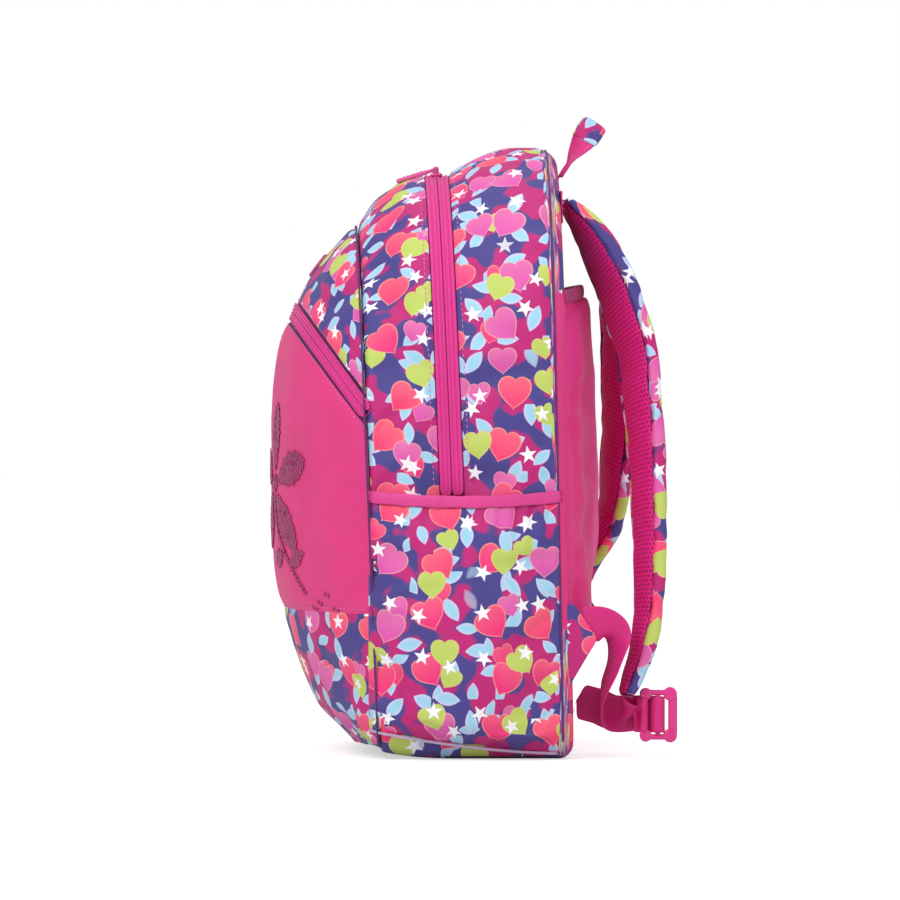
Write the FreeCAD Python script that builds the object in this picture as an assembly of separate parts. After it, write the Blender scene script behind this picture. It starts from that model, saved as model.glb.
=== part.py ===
import FreeCAD, Part
import math
import os

# A child's school backpack.
# Frame: +Z up, +Y towards the wearer and the straps, -Y towards the front pocket, +X the wearer's right.
# Origin: under the middle of the main zip, on the surface that the base stands on. Millimetres, degrees.

Vec = FreeCAD.Vector
sine = lambda angle: math.sin(math.radians(angle))
cosine = lambda angle: math.cos(math.radians(angle))

# Main compartment: three leaning seam planes carry outlines with a flat foot and a half-round top.
half_width = 150.0          # also the radius of the half-round top
wall = 2.6                  # fabric, foam and lining together
base_corner = 30.0          # lower corners, seen from the front
back_y = 72.0               # seam planes, where they meet the floor
zip_y = 0.0
seam_y = -59.0
back_lean = 1.2             # how far each plane leans forward
zip_lean = 2.3
back_crown = 438.0          # top of each outline
zip_crown = 420.0
seam_crown = 383.0
seam_foot = 5.0             # the base curves up this far towards the front seam
gusset_swell = 4.0          # gussets stand this far above a straight line between their seams
split_height = 188.0        # gussets above, side panels below
base_height = 8.0           # seam round the base panel
clearance = 0.3             # between loose or moving neighbours
board_thickness = 2.0
board_margin = 14.0
back_board_margin = 6.0

# Main zip.
tape_half = 8.5             # half the width over both tapes
tape_thickness = 1.2
slot_half = 1.0             # half the gap between the two tapes
coil_width = 2.2
coil_height = 2.2
end_tab_height = 12.0
end_tab_thickness = 1.0

# Sliders, with a pin between two ears and a moulded puller.
slider_length = 15.0
slider_width = 9.0
slider_plate = 1.6
slider_clearance = 0.4
post_length = 5.0
post_width = 1.2
ear_gap = 3.8
ear_thickness = 1.3
ear_length = 3.6
pin_radius = 0.75
pin_height = 3.0            # pin above the outer plate
eye_radius = 2.0
pull_length = 30.0
pull_width = 8.0
pull_thickness = 2.6
pull_neck = 6.0
main_slider_angle = 4.2     # from the crown to each main slider
main_pull_droop = 8.0

# Front dome: pocket below its own zip, panel above it.
fan_back = 30.5             # the dome's sections turn about a line this far behind the seam plane's foot
fan_height = 193.5
pocket_pitch = 53.7         # rise of the pocket zip's plane towards the front
pocket_cone = 32.5          # between the band of the pocket zip and the axis of its arc
pocket_tape_half = 6.5
pocket_slider_angle = -54.0
pocket_seam_height = 105.0
dome_foot = 9.0
divider_thickness = 1.5
divider_top = 232.0
label_width = 26.0
label_height = 17.0
label_thickness = 2.2
label_low = 345.0
piping_height = 1.5
piping_width = 3.0

# Side pockets.
pocket_front = -56.0
pocket_back = 64.0
pocket_top = 178.0
pocket_foot = 10.0
pocket_wall = 1.8
pocket_mouth = 17.0         # how far the mouth and the belly stand off the body
pocket_belly = 21.0
pocket_belly_height = 105.0
pocket_low_height = 32.0
pocket_low = 14.0
pocket_foot_depth = 3.5
binding_height = 9.0
binding_wall = 3.0

# Back.
back_puff = 8.0
back_round = 10.0           # the padded back is flat inside this margin
back_skin = 1.6
sleeve_half = 122.0
sleeve_low = 94.0
sleeve_top = 330.0
sleeve_bulge = 20.0
sleeve_top_bulge = 15.0
sleeve_thickness = 5.5
hem_height = 10.0
hem_extra = 1.4
yoke_low = 384.0
yoke_top = 408.0
yoke_half = 90.0
yoke_thickness = 1.6
wing_x = 143.0
wing_thickness = 3.0
wing_top = 128.0
wing_tip_y = 97.0
wing_tip_z = 87.0
wing_low = 42.0

# Straps.
strap_root_z = 399.0
strap_root_radius = 5.0
cover_thickness = 8.5
mesh_thickness = 3.4
mesh_margin = 6.0
strap_chamfer = 3.0
tab_width = 25.0
tab_thickness = 2.0
web_width = 25.0
web_thickness = 1.6
lock_width = 36.0
lock_length = 25.0
lock_thickness = 4.4
lock_rail = 4.0
lock_bar = 3.4

# Haul loop.
haul_lean = 33.0
haul_z = 418.0
haul_x = 34.0
haul_height = 46.0
haul_width = 16.0
haul_thickness = 2.6
haul_bead = 2.0
grip_half = 24.0
grip_margin = 1.4
grip_height = 11.0


def seam_point(x, height, base_y, lean):
    return Vec(x, base_y - height * sine(lean), height * cosine(lean))


def arch_wire(base_y, lean, crown, foot, inset=0.0):
    """Outline in a seam plane: flat foot, round lower corners, straight legs, half-round top."""
    half = half_width - inset
    low = foot + inset
    corner = base_corner - inset
    spring = crown - half_width
    turn = corner * (1 - math.sqrt(0.5))
    shoulder = half * math.sqrt(0.5)
    corners = [
        [(-half + corner, low), (half - corner, low)],
        [(half - corner, low), (half - turn, low + turn), (half, low + corner)],
        [(half, low + corner), (half, spring)],
        [(half, spring), (shoulder, spring + shoulder), (0, spring + half)],
        [(0, spring + half), (-shoulder, spring + shoulder), (-half, spring)],
        [(-half, spring), (-half, low + corner)],
        [(-half, low + corner), (-half + turn, low + turn), (-half + corner, low)],
    ]
    edges = []
    for run in corners:
        points = [seam_point(x, height, base_y, lean) for x, height in run]
        curve = Part.LineSegment(*points) if len(points) == 2 else Part.Arc(*points)
        edges.append(curve.toShape())
    return Part.Wire(edges)


def box(low_x, high_x, low_y, high_y, low_z, high_z):
    return Part.makeBox(high_x - low_x, high_y - low_y, high_z - low_z, Vec(low_x, low_y, low_z))


def between(low, high):
    return box(-400, 400, -400, 400, low, high)


def side_of(shape, side):
    return shape.common(box(0, 400, -400, 400, -50, 900) if side > 0 else box(-400, 0, -400, 400, -50, 900))


def mirrored(shape):
    return shape.mirror(Vec(0, 0, 0), Vec(1, 0, 0))


def polygon_wire(points):
    return Part.makePolygon(list(points) + [points[0]])


# ---- body -------------------------------------------------------------------------------


def crown_between(share, first, last):
    return first + (last - first) * share + gusset_swell * 4 * share * (1 - share)


def rear_block(inset):
    first = zip_y + tape_half
    wires = []
    for share in (0.0, 0.5, 1.0):
        lean = zip_lean + (back_lean - zip_lean) * share
        crown = crown_between(share, zip_crown, back_crown)
        wires.append(arch_wire(first + (back_y - first) * share, lean, crown, 0.0, inset))
    return Part.makeLoft(wires, True)


def zip_block(inset, first=-tape_half, last=tape_half):
    wires = [arch_wire(zip_y + offset, zip_lean, zip_crown, 0.0, inset) for offset in (first, last)]
    return Part.makeLoft(wires, True)


def front_block(inset):
    first = zip_y - tape_half
    wires = []
    for share in (0.0, 0.5, 1.0):
        crown = crown_between(share, zip_crown, seam_crown)
        station = first + (seam_y - first) * share
        wires.append(arch_wire(station, zip_lean, crown, seam_foot * share ** 2, inset))
    return Part.makeLoft(wires, True)


def body_parts():
    rear = rear_block(0).cut(rear_block(wall))
    front = front_block(0).cut(front_block(wall))
    middle = zip_block(0).cut(zip_block(wall))
    lower = rear.multiFuse([middle, front])
    sides = lower.common(between(base_height, split_height))
    parts = {
        "rear_gusset": rear.common(between(split_height, 900)),
        "front_gusset": front.common(between(split_height, 900)),
        "side_panel_right": side_of(sides, 1),
        "side_panel_left": side_of(sides, -1),
        "base_panel": lower.common(between(-50, base_height)),
    }
    board_half = half_width - base_corner
    board_low = wall + clearance
    back_edge = back_y - board_thickness - back_board_margin
    parts["base_board"] = box(-board_half, board_half, zip_y - tape_half - board_margin / 2, back_edge,
                              board_low, board_low + board_thickness)
    divider = Part.Face(arch_wire(seam_y, zip_lean, seam_crown, seam_foot, wall))
    divider = divider.extrude(Vec(0, divider_thickness, 0))
    parts["divider_panel"] = divider.common(between(0, divider_top))
    return parts


def zip_ring(first, last, top, bottom):
    """A strip of the zip's arch between two offsets across it and two depths below its surface."""
    ring = zip_block(top, first, last).cut(zip_block(bottom, first, last))
    return ring.common(between(split_height, 900))


def main_zip_parts():
    coil_top = tape_thickness
    coil_low = tape_thickness + coil_height
    parts = {}
    for name, sign in (("rear", 1), ("front", -1)):
        tape = sorted((sign * slot_half, sign * tape_half))
        coil = sorted((sign * slot_half, sign * (slot_half + coil_width)))
        parts["zip_tape_" + name] = zip_ring(tape[0], tape[1], 0, tape_thickness)
        parts["zip_coil_" + name] = zip_ring(coil[0], coil[1], coil_top, coil_low)
    centre = zip_y - split_height * sine(zip_lean)
    tab = box(half_width, half_width + end_tab_thickness, centre - tape_half, centre + tape_half,
              split_height - end_tab_height, split_height)
    parts["zip_end_tab_right"] = tab
    parts["zip_end_tab_left"] = mirrored(tab)
    return parts


# ---- sliders ----------------------------------------------------------------------------


def placed(shape, origin, along, across, outward):
    matrix = FreeCAD.Matrix(along.x, across.x, outward.x, origin.x,
                            along.y, across.y, outward.y, origin.y,
                            along.z, across.z, outward.z, origin.z, 0, 0, 0, 1)
    moved = shape.copy()
    moved.Placement = FreeCAD.Placement(matrix)
    return moved


def slider_solid():
    """Local axes: x along the zip, y across it, z out of it, zero on the face of the tapes."""
    half_length = slider_length / 2
    half = slider_width / 2
    inner = -(tape_thickness + coil_height + slider_clearance)
    top = slider_clearance + slider_plate
    outer_plate = box(-half_length, half_length, -half, half, slider_clearance, top)
    inner_plate = box(-half_length, half_length, -half, half, inner - slider_plate, inner)
    post_start = half_length - post_length
    post = box(post_start, half_length, -post_width / 2, post_width / 2, inner, slider_clearance)
    pieces = [inner_plate, post]
    for side in (-1, 1):
        near = side * ear_gap / 2
        far = side * (ear_gap / 2 + ear_thickness)
        low, high = sorted((near, far))
        pieces.append(box(low, high, -ear_length / 2, ear_length / 2, top, top + pin_height + pin_radius * 2))
    pin_half = ear_gap / 2 + ear_thickness
    pin_end = Vec(-pin_half, 0, top + pin_height)
    pieces.append(Part.makeCylinder(pin_radius, 2 * pin_half, pin_end, Vec(1, 0, 0)))
    return outer_plate.multiFuse(pieces).removeSplitter()


def pull_solid(droop):
    """Hangs towards -y of the slider's axes, turning about the slider's pin."""
    height = slider_clearance + slider_plate + pin_height
    eye_half = ear_gap / 2 - clearance
    hole = pin_radius + clearance
    eye = Part.makeCylinder(eye_radius, 2 * eye_half, Vec(-eye_half, 0, height), Vec(1, 0, 0))
    neck = box(-eye_half, eye_half, -pull_neck, 0, height - pull_thickness / 2, height + pull_thickness / 2)
    grip = box(-pull_width / 2, pull_width / 2, -pull_length, -pull_neck, height - pull_thickness / 2,
               height + pull_thickness / 2)
    edges = [edge for edge in grip.Edges if abs(edge.tangentAt(edge.FirstParameter).z) > 0.9]
    grip = grip.makeFillet(pull_width / 3, edges)
    solid = eye.multiFuse([neck, grip]).removeSplitter()
    solid = solid.cut(Part.makeCylinder(hole, 4 * eye_half, Vec(-2 * eye_half, 0, height), Vec(1, 0, 0)))
    solid.rotate(Vec(0, 0, height), Vec(1, 0, 0), droop)
    return solid


def main_zip_frame(angle):
    """Centre, axis and the local axes on the main zip's arc, at an angle from the crown towards +X."""
    axis = Vec(0, cosine(zip_lean), sine(zip_lean))
    centre = seam_point(0, zip_crown - half_width, zip_y, zip_lean)
    up = Vec(0, -sine(zip_lean), cosine(zip_lean))
    outward = up * cosine(angle) + Vec(sine(angle), 0, 0)
    along = Vec(cosine(angle), 0, 0) - up * sine(angle)
    return centre, axis, centre + outward * half_width, along, outward


def main_slider_parts():
    parts = {}
    for name, side in (("right", 1), ("left", -1)):
        centre, axis, origin, along, outward = main_zip_frame(side * main_slider_angle)
        slider = slider_solid() if side > 0 else mirrored(slider_solid())
        parts["main_slider_" + name] = placed(slider, origin, along, axis, outward)
        parts["main_pull_" + name] = placed(pull_solid(main_pull_droop), origin, along, axis, outward)
    return parts


# ---- front dome -------------------------------------------------------------------------

# Side view of the dome's front, from the crown of the seam down to its foot.
dome_profile_points = [
    (-74.4, 383), (-103, 352), (-124.5, 314), (-135.5, 250), (-134.6, 168), (-125.5, 100), (-105, 38),
    (-80, 11), (-62, 5)]


def dome_profile():
    curve = Part.BSplineCurve()
    curve.interpolate([Vec(0, y, z) for y, z in dome_profile_points])
    return curve.toShape()


def outline_half(height):
    """Half the width of the front seam's outline at a height along its plane."""
    spring = seam_crown - half_width
    if height > spring:
        return math.sqrt(max(half_width ** 2 - (height - spring) ** 2, 0))
    drop = seam_foot + base_corner - height
    if drop > 0:
        return half_width - base_corner + math.sqrt(max(base_corner ** 2 - drop ** 2, 0))
    return half_width


def dome_section(profile, start, pitch, inset):
    """D-shaped wire in the plane through a line along X at start, rising forward at the pitch."""
    ray = Vec(0, -cosine(pitch), sine(pitch))
    reach = (start.y - seam_y + start.z * math.tan(math.radians(zip_lean))) / (
        cosine(pitch) - sine(pitch) * math.tan(math.radians(zip_lean)))
    chord = start + ray * reach
    front = Part.LineSegment(start + ray * reach, start + ray * 400).toShape().distToShape(profile)[1][0][1]
    front = front - ray * inset
    half = outline_half(chord.z / cosine(zip_lean)) - inset
    left = chord + Vec(-half, 0, 0)
    right = chord + Vec(half, 0, 0)
    edges = [Part.Arc(left, front, right).toShape()]
    if inset > 0:
        behind = ray * -inset
        edges += Part.makePolygon([right, right + behind, left + behind, left]).Edges
    else:
        edges.append(Part.LineSegment(right, left).toShape())
    return Part.Wire(edges)


def fan_start():
    return Vec(0, seam_y + fan_back, fan_height)


def dome_block(inset):
    """Level sections up to the fan's height, then sections that turn with the fan up to the crown."""
    profile = dome_profile()
    wires = []
    foot = dome_foot + max(inset, 0)
    for height in (foot, 22.0, 45.0, 78.0, 115.0, 155.0):
        wires.append(dome_section(profile, Vec(0, fan_start().y, height), 0, inset))
    pitches = [0.0, 20.0, 38.0, pocket_pitch]
    for turn in (16, 26, 36, 46, 56, 65, 73, 80, 85):
        seam = seam_point(0, seam_crown - half_width * (1 - sine(turn)), seam_y, zip_lean)
        reach = fan_start() - seam
        pitches.append(math.degrees(math.atan2(-reach.z, reach.y)))
    for pitch in pitches:
        wires.append(dome_section(profile, fan_start(), pitch, inset))
    if inset <= 0:
        wires.append(Part.Vertex(seam_point(0, seam_crown - inset, seam_y, zip_lean)))
    return Part.makeLoft(wires, True, True)


def pocket_frame():
    """The pocket zip's arc: centre, axis, forward direction in its plane, radius, half angle."""
    profile = dome_profile()
    axis = Vec(0, sine(pocket_pitch), cosine(pocket_pitch))
    ray = Vec(0, -cosine(pocket_pitch), sine(pocket_pitch))
    arc = dome_section(profile, fan_start(), pocket_pitch, 0).Edges[0]
    circle = arc.Curve
    half_angle = math.degrees(arc.Length / circle.Radius / 2)
    return circle.Center, axis, ray, circle.Radius, half_angle


def pocket_band(low, high, top, bottom):
    """Ring about the pocket zip's axis: low to high across the band, top to bottom below its face."""
    centre, axis, ray, radius, half_angle = pocket_frame()
    along = ray * sine(pocket_cone) + axis * cosine(pocket_cone)
    inward = axis * sine(pocket_cone) - ray * cosine(pocket_cone)
    start = centre + ray * radius
    corners = [start + along * across + inward * depth
               for across, depth in ((low, top), (high, top), (high, bottom), (low, bottom))]
    face = Part.Face(polygon_wire(corners))
    sweep = 2 * (half_angle + 6)
    face.rotate(centre, axis, -sweep / 2)
    return face.revolve(centre, axis, sweep)


def ahead_of_seam():
    """Everything in front of the front seam's plane."""
    slab = Part.makeBox(800, 400, 1200, Vec(-400, -400, -400))
    slab.rotate(Vec(0, 0, 0), Vec(1, 0, 0), zip_lean)
    slab.translate(Vec(0, seam_y, 0))
    return slab


def pocket_zip_side(sign):
    """Everything above (+1) or below (-1) the plane of the pocket zip."""
    centre, axis, ray, radius, half_angle = pocket_frame()
    slab = Part.makeBox(1000, 1000, 600, Vec(-500, -500, 0 if sign > 0 else -600))
    return placed(slab, centre, Vec(1, 0, 0), ray * -1, axis)


def dome_parts():
    outer = dome_block(0)
    shell = outer.cut(dome_block(wall))
    slot = pocket_band(-pocket_tape_half, pocket_tape_half, -12, 14)
    shell = shell.cut(slot)
    upper = shell.common(pocket_zip_side(1))
    lower = shell.common(pocket_zip_side(-1))
    front = ahead_of_seam()
    parts = {
        "front_panel": upper,
        "pocket_panel": lower.common(between(pocket_seam_height, 900)),
        "pocket_lower_panel": lower.common(between(-50, pocket_seam_height)),
    }
    for name, sign in (("upper", 1), ("lower", -1)):
        tape = sorted((sign * slot_half, sign * pocket_tape_half))
        coil = sorted((sign * slot_half, sign * (slot_half + coil_width)))
        coil_low = tape_thickness + coil_height
        parts["pocket_tape_" + name] = pocket_band(tape[0], tape[1], 0, tape_thickness).common(front)
        parts["pocket_coil_" + name] = pocket_band(coil[0], coil[1], tape_thickness, coil_low).common(front)
    label_zone = box(-label_width / 2, label_width / 2, -200, seam_y, label_low, label_low + label_height)
    parts["label_patch"] = dome_block(-label_thickness).common(label_zone).cut(outer)
    return parts


def pocket_zip_frame(angle):
    centre, axis, ray, radius, half_angle = pocket_frame()
    side = Vec(1, 0, 0)
    radial = ray * cosine(angle) + side * sine(angle)
    along = side * cosine(angle) - ray * sine(angle)
    across = radial * sine(pocket_cone) + axis * cosine(pocket_cone)
    outward = radial * cosine(pocket_cone) - axis * sine(pocket_cone)
    return centre, axis, centre + radial * radius, along, across, outward


def pocket_slider_parts():
    centre, axis, origin, along, across, outward = pocket_zip_frame(pocket_slider_angle)
    return {
        "pocket_slider": placed(slider_solid(), origin, along, across, outward),
        "pocket_pull": placed(pull_solid(0), origin, along, across, outward),
    }


# ---- back -------------------------------------------------------------------------------


def back_block(inset):
    steps = ((0.0, 0.0), (back_puff * 0.65, back_round * 0.35), (back_puff, back_round))
    skin = max(inset, 0)
    wires = [arch_wire(back_y + depth - skin * (depth > 0), back_lean, back_crown, 0.0, margin + inset)
             for depth, margin in steps]
    return Part.makeLoft(wires, True, True)


def back_face_y(height):
    """The flat rear face of the padded back."""
    return back_y + back_puff - height * math.tan(math.radians(back_lean))


def sleeve_section(height, bulge, inset):
    half = sleeve_half - inset
    y = back_face_y(height)
    left = Vec(-half, y, height)
    right = Vec(half, y, height)
    arc = Part.Arc(right, Vec(0, y + bulge - inset, height), left).toShape()
    return Part.Wire([arc, Part.LineSegment(left, right).toShape()])


def sleeve_block(low, high, bulges, inset):
    heights = [low + (high - low) * step / (len(bulges) - 1) for step in range(len(bulges))]
    return Part.makeLoft([sleeve_section(z, bulge, inset) for z, bulge in zip(heights, bulges)], True, True)


def back_parts():
    outer = back_block(0)
    skin = outer.cut(back_block(back_skin))
    foam = back_block(back_skin + clearance)
    board_y = back_y - clearance - board_thickness
    board_wire = arch_wire(board_y, back_lean, back_crown, 0.0, wall + back_board_margin)
    parts = {
        "back_panel": skin,
        "back_foam": foam,
        "back_board": Part.Face(board_wire).extrude(Vec(0, board_thickness, 0)),
    }
    bulges = [sleeve_bulge * 0.8, sleeve_bulge, sleeve_bulge * 0.98, sleeve_top_bulge]
    parts["trolley_sleeve"] = sleeve_block(sleeve_low, sleeve_top, bulges, 0).cut(
        sleeve_block(sleeve_low, sleeve_top, bulges, sleeve_thickness))
    hem_top = sleeve_top + hem_height
    hem_bulges = [sleeve_top_bulge, sleeve_top_bulge]
    parts["sleeve_hem"] = sleeve_block(sleeve_top, hem_top, hem_bulges, -hem_extra).cut(
        sleeve_block(sleeve_top, hem_top, hem_bulges, sleeve_thickness)).cut(outer)
    yoke_wire = arch_wire(back_y + back_puff, back_lean, back_crown, 0.0, back_round)
    yoke = Part.Face(yoke_wire).extrude(Vec(0, yoke_thickness, 0))
    parts["strap_yoke"] = yoke.common(box(-yoke_half, yoke_half, -50, 200, yoke_low, yoke_top))
    wing = Part.Face(polygon_wire([Vec(wing_x, back_y - 2, wing_top), Vec(wing_x, wing_tip_y, wing_tip_z),
                                   Vec(wing_x, back_y - 2, wing_low)])).extrude(Vec(wing_thickness, 0, 0))
    body = rear_block(0)
    wing = wing.cut(outer).cut(body)
    parts["anchor_wing_right"] = wing
    parts["anchor_wing_left"] = mirrored(wing)
    return parts


def piping_ring(first, last, lean, crown, foot):
    """A raised strip round the outline of a seam, from the first to the last plane."""
    outer, inner = [Part.makeLoft([arch_wire(y, lean, crown, foot, -height) for y in (first, last)], True)
                    for height in (piping_height, 0)]
    return outer.cut(inner).common(between(base_height + piping_height, 900))


def piping_parts():
    half = piping_width / 2
    zip_end = pocket_band(-pocket_tape_half, pocket_tape_half, -piping_height, tape_thickness + coil_height)
    front = piping_ring(seam_y - piping_width, seam_y, zip_lean, seam_crown, seam_foot)
    return {
        "back_piping": piping_ring(back_y - half, back_y + half, back_lean, back_crown, 0.0),
        "front_piping": front.cut(zip_end),
    }


def side_pocket_section(height, depth):
    """Horizontal D from the side of the body, deep enough behind it to be trimmed by the body."""
    front = Vec(half_width, pocket_front, height)
    back = Vec(half_width, pocket_back, height)
    middle = (pocket_front + pocket_back) / 2
    inside = half_width - base_corner
    arc = Part.Arc(front, Vec(half_width + depth, middle, height), back).toShape()
    lines = [Part.LineSegment(back, Vec(inside, pocket_back, height)).toShape(),
             Part.LineSegment(Vec(inside, pocket_back, height), Vec(inside, pocket_front, height)).toShape(),
             Part.LineSegment(Vec(inside, pocket_front, height), front).toShape()]
    return Part.Wire([arc] + lines)


def side_pocket_block(inset, foot, top):
    """The pocket's bulge, one wall smaller for the space inside it."""
    middle = (pocket_front + pocket_back) / 2
    length = pocket_back - pocket_front
    wires = []
    stations = ((foot, pocket_foot_depth), (pocket_low_height, pocket_low),
                (pocket_belly_height, pocket_belly), (top, pocket_mouth))
    for height, depth in stations:
        wire = side_pocket_section(height, depth)
        if inset:
            shrink = FreeCAD.Matrix()
            shrink.scale(Vec((half_width + depth - inset) / (half_width + depth), 1 - 2 * inset / length, 1))
            wire.translate(Vec(0, -middle, 0))
            wire = wire.transformGeometry(shrink)
            wire.translate(Vec(0, middle, 0))
        wires.append(wire)
    return Part.makeLoft(wires, True, True)


def side_pocket_parts():
    body = rear_block(0).multiFuse([zip_block(0), front_block(0)])
    pocket = side_pocket_block(0, pocket_foot, pocket_top)
    pocket = pocket.cut(side_pocket_block(pocket_wall, pocket_foot + pocket_wall, pocket_top)).cut(body)
    rim = (pocket_mouth + binding_wall - pocket_wall, pocket_mouth - pocket_wall)
    solids = []
    for depth in rim:
        wire = side_pocket_section(pocket_top, depth)
        solids.append(Part.Face(wire).extrude(Vec(0, 0, binding_height)))
    binding = solids[0].cut(solids[1])
    seam = box(0, half_width, -200, 200, 0, 400)
    binding = binding.cut(seam)
    return {
        "side_pocket_right": pocket,
        "side_pocket_left": mirrored(pocket),
        "pocket_binding_right": binding,
        "pocket_binding_left": mirrored(binding),
    }


# ---- straps -----------------------------------------------------------------------------

# Middle line of each strap from its root down: x, y, z, half width, twist about the line.
route_right = [
    (46, 0, 0, 29, 0), (50, 91, 380, 30, 12), (56, 103.5, 356, 30, 20), (64, 115, 328, 30, 24),
    (74, 126, 292, 29, 24), (84, 130.5, 250, 27, 24), (93, 133.5, 200, 25, 22), (100, 134.5, 150, 23, 22),
    (105, 133, 108, 21, 20), (109, 127.5, 74, 18, 16), (112, 117.5, 44, 15, 10)]
route_left = [
    (-46, 0, 0, 29, 0), (-50, 93, 384, 30, 6), (-56, 105, 366, 30, 10), (-62, 111.5, 342, 30, 12),
    (-70, 114.5, 306, 29, 12), (-80, 114.5, 260, 27, 12), (-92, 112.5, 214, 25, 10), (-105, 108, 172, 23, 6),
    (-112, 100, 138, 20, 2), (-117, 91.5, 112, 15, 0)]


def strap_root():
    y = back_face_y(strap_root_z) + yoke_thickness + clearance + strap_root_radius
    return Vec(0, y, strap_root_z)


def strap_stations(route):
    """Centre, width and inward directions, half width and thickness scale at each station."""
    root = strap_root()
    centres = [Vec(route[0][0], root.y, root.z)] + [Vec(*station[:3]) for station in route[1:]]
    total = cover_thickness + clearance + mesh_thickness
    stations = []
    for index, station in enumerate(route):
        before = centres[max(index - 1, 0)]
        after = centres[min(index + 1, len(centres) - 1)]
        tangent = after - before
        if index == 0:
            tangent.x = 0
        tangent.normalize()
        width = Vec(1, 0, 0) - tangent * tangent.x
        width.normalize()
        inward = tangent.cross(width)
        twist = station[4]
        turned = width * cosine(twist) - inward * sine(twist)
        inward = inward * cosine(twist) + width * sine(twist)
        scale = 2 * strap_root_radius / total if index == 0 else 1.0
        stations.append((centres[index], turned, inward, station[3], scale, tangent))
    return stations


def strap_loft(stations, margin, low, high, chamfered):
    """Loft of flat octagons or hexagons between two depths of the strap, measured inwards from its middle."""
    wires = []
    for centre, width, inward, half, scale, tangent in stations:
        half = half - margin
        chamfer = strap_chamfer * scale
        bottom = low * scale
        top = high * scale
        if chamfered:
            outline = [(-half, top - 1), (-half, bottom + chamfer), (-half + chamfer, bottom),
                       (half - chamfer, bottom), (half, bottom + chamfer), (half, top - 1),
                       (half - 1, top), (-half + 1, top)]
        else:
            outline = [(-half, bottom), (half, bottom), (half - 2, top), (-half + 2, top)]
        wires.append(polygon_wire([centre + width * w + inward * n for w, n in outline]))
    return Part.makeLoft(wires, True, True)


def strap_parts(name, route):
    stations = strap_stations(route)
    total = cover_thickness + clearance + mesh_thickness
    low = -total / 2
    split = low + cover_thickness
    cover = strap_loft(stations, 0, low, split, True)
    mesh = strap_loft(stations, mesh_margin, split + clearance, total / 2, False)
    centre, width, inward, half, scale, tangent = stations[0]
    bead = Part.makeCylinder(strap_root_radius, 2 * half, centre - width * half, width)
    front = placed(box(-100, 100, -100, 100, 0, 100), centre, width, inward, tangent)
    bead = bead.cut(front)
    return {"strap_cover_" + name: cover.fuse(bead).removeSplitter(), "strap_mesh_" + name: mesh}


def ribbon(stations, width, thickness):
    """Flat webbing through stations of a centre and a width direction, in flat triangles."""
    rings = []
    for index, (centre, across) in enumerate(stations):
        before = stations[max(index - 1, 0)][0]
        after = stations[min(index + 1, len(stations) - 1)][0]
        tangent = after - before
        across = across - tangent * (across.dot(tangent) / tangent.dot(tangent))
        across.normalize()
        normal = tangent.cross(across)
        normal.normalize()
        corners = [(-1, -1), (1, -1), (1, 1), (-1, 1)]
        rings.append([centre + across * (a * width / 2) + normal * (b * thickness / 2) for a, b in corners])
    first, last = rings[0], rings[-1]
    triangles = [(first[0], first[3], first[2]), (first[0], first[2], first[1]),
                 (last[0], last[1], last[2]), (last[0], last[2], last[3])]
    for ring, after in zip(rings, rings[1:]):
        for a, b in ((0, 1), (1, 2), (3, 0)):
            triangles += [(ring[a], ring[b], after[b]), (ring[a], after[b], after[a])]
        # The outer side is split along the same diagonal as the inner one.
        triangles += [(ring[2], ring[3], after[2]), (ring[3], after[3], after[2])]
    shell = Part.Shell([Part.Face(Part.makePolygon([a, b, c, a])) for a, b, c in triangles])
    solid = Part.Solid(shell)
    return solid if solid.Volume > 0 else Part.Solid(shell.reversed())


# Frame of each ladder lock: the bar nearest the strap, the way its body points, its outer face, its width.
lock_frames = {
    "right": (Vec(112, 130.5, 31), Vec(0, 1, 0), Vec(1, 0, 0), Vec(0, 0, -1)),
    "left": (Vec(-115, 88, 99), Vec(0, 0, -1), Vec(0, 1, 0), Vec(1, 0, 0)),
}
tube_wall = 1.6


def lock_point(frame, along, outward, across=0.0):
    bar, forward, face, width = frame
    return bar + forward * along + face * outward + width * across


def lock_solid(frame):
    """Local axes: x along the lock, y out of its face, z across it, zero on the bar nearest the strap."""
    start = -lock_thickness / 2
    end = start + lock_length
    half = lock_width / 2
    pieces = []
    for side in (-1, 1):
        low, high = sorted((side * half, side * (half - lock_rail)))
        pieces.append(box(start, end, -lock_thickness / 2, lock_thickness / 2, low, high))
    for along in lock_bars():
        bar_end = Vec(along, 0, -half + lock_rail / 2)
        pieces.append(Part.makeCylinder(lock_bar / 2, lock_width - lock_rail, bar_end))
    solid = pieces[0].multiFuse(pieces[1:]).removeSplitter()
    bar, forward, face, width = frame
    return placed(solid, bar, forward, face, width)


def lock_bars():
    last = lock_length - lock_thickness
    return 0.0, last / 2, last


def tab_solid(frame, start, start_across, middle, middle_across):
    """The loop of webbing sewn to the strap's end, round the lock's first bar."""
    bar, forward, face, width = frame
    hole = lock_bar / 2 + clearance
    outside = hole + tube_wall
    tube = Part.makeCylinder(outside, tab_width, bar - width * (tab_width / 2), width)
    away = middle - bar
    away = away - width * away.dot(width)
    away.normalize()
    end = bar + away * (hole + tube_wall / 2)
    strip = ribbon([(start, start_across), (middle, middle_across), (end, width)], tab_width, tab_thickness)
    solid = tube.fuse(strip)
    return solid.cut(Part.makeCylinder(hole, 2 * tab_width, bar - width * tab_width, width))


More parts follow.
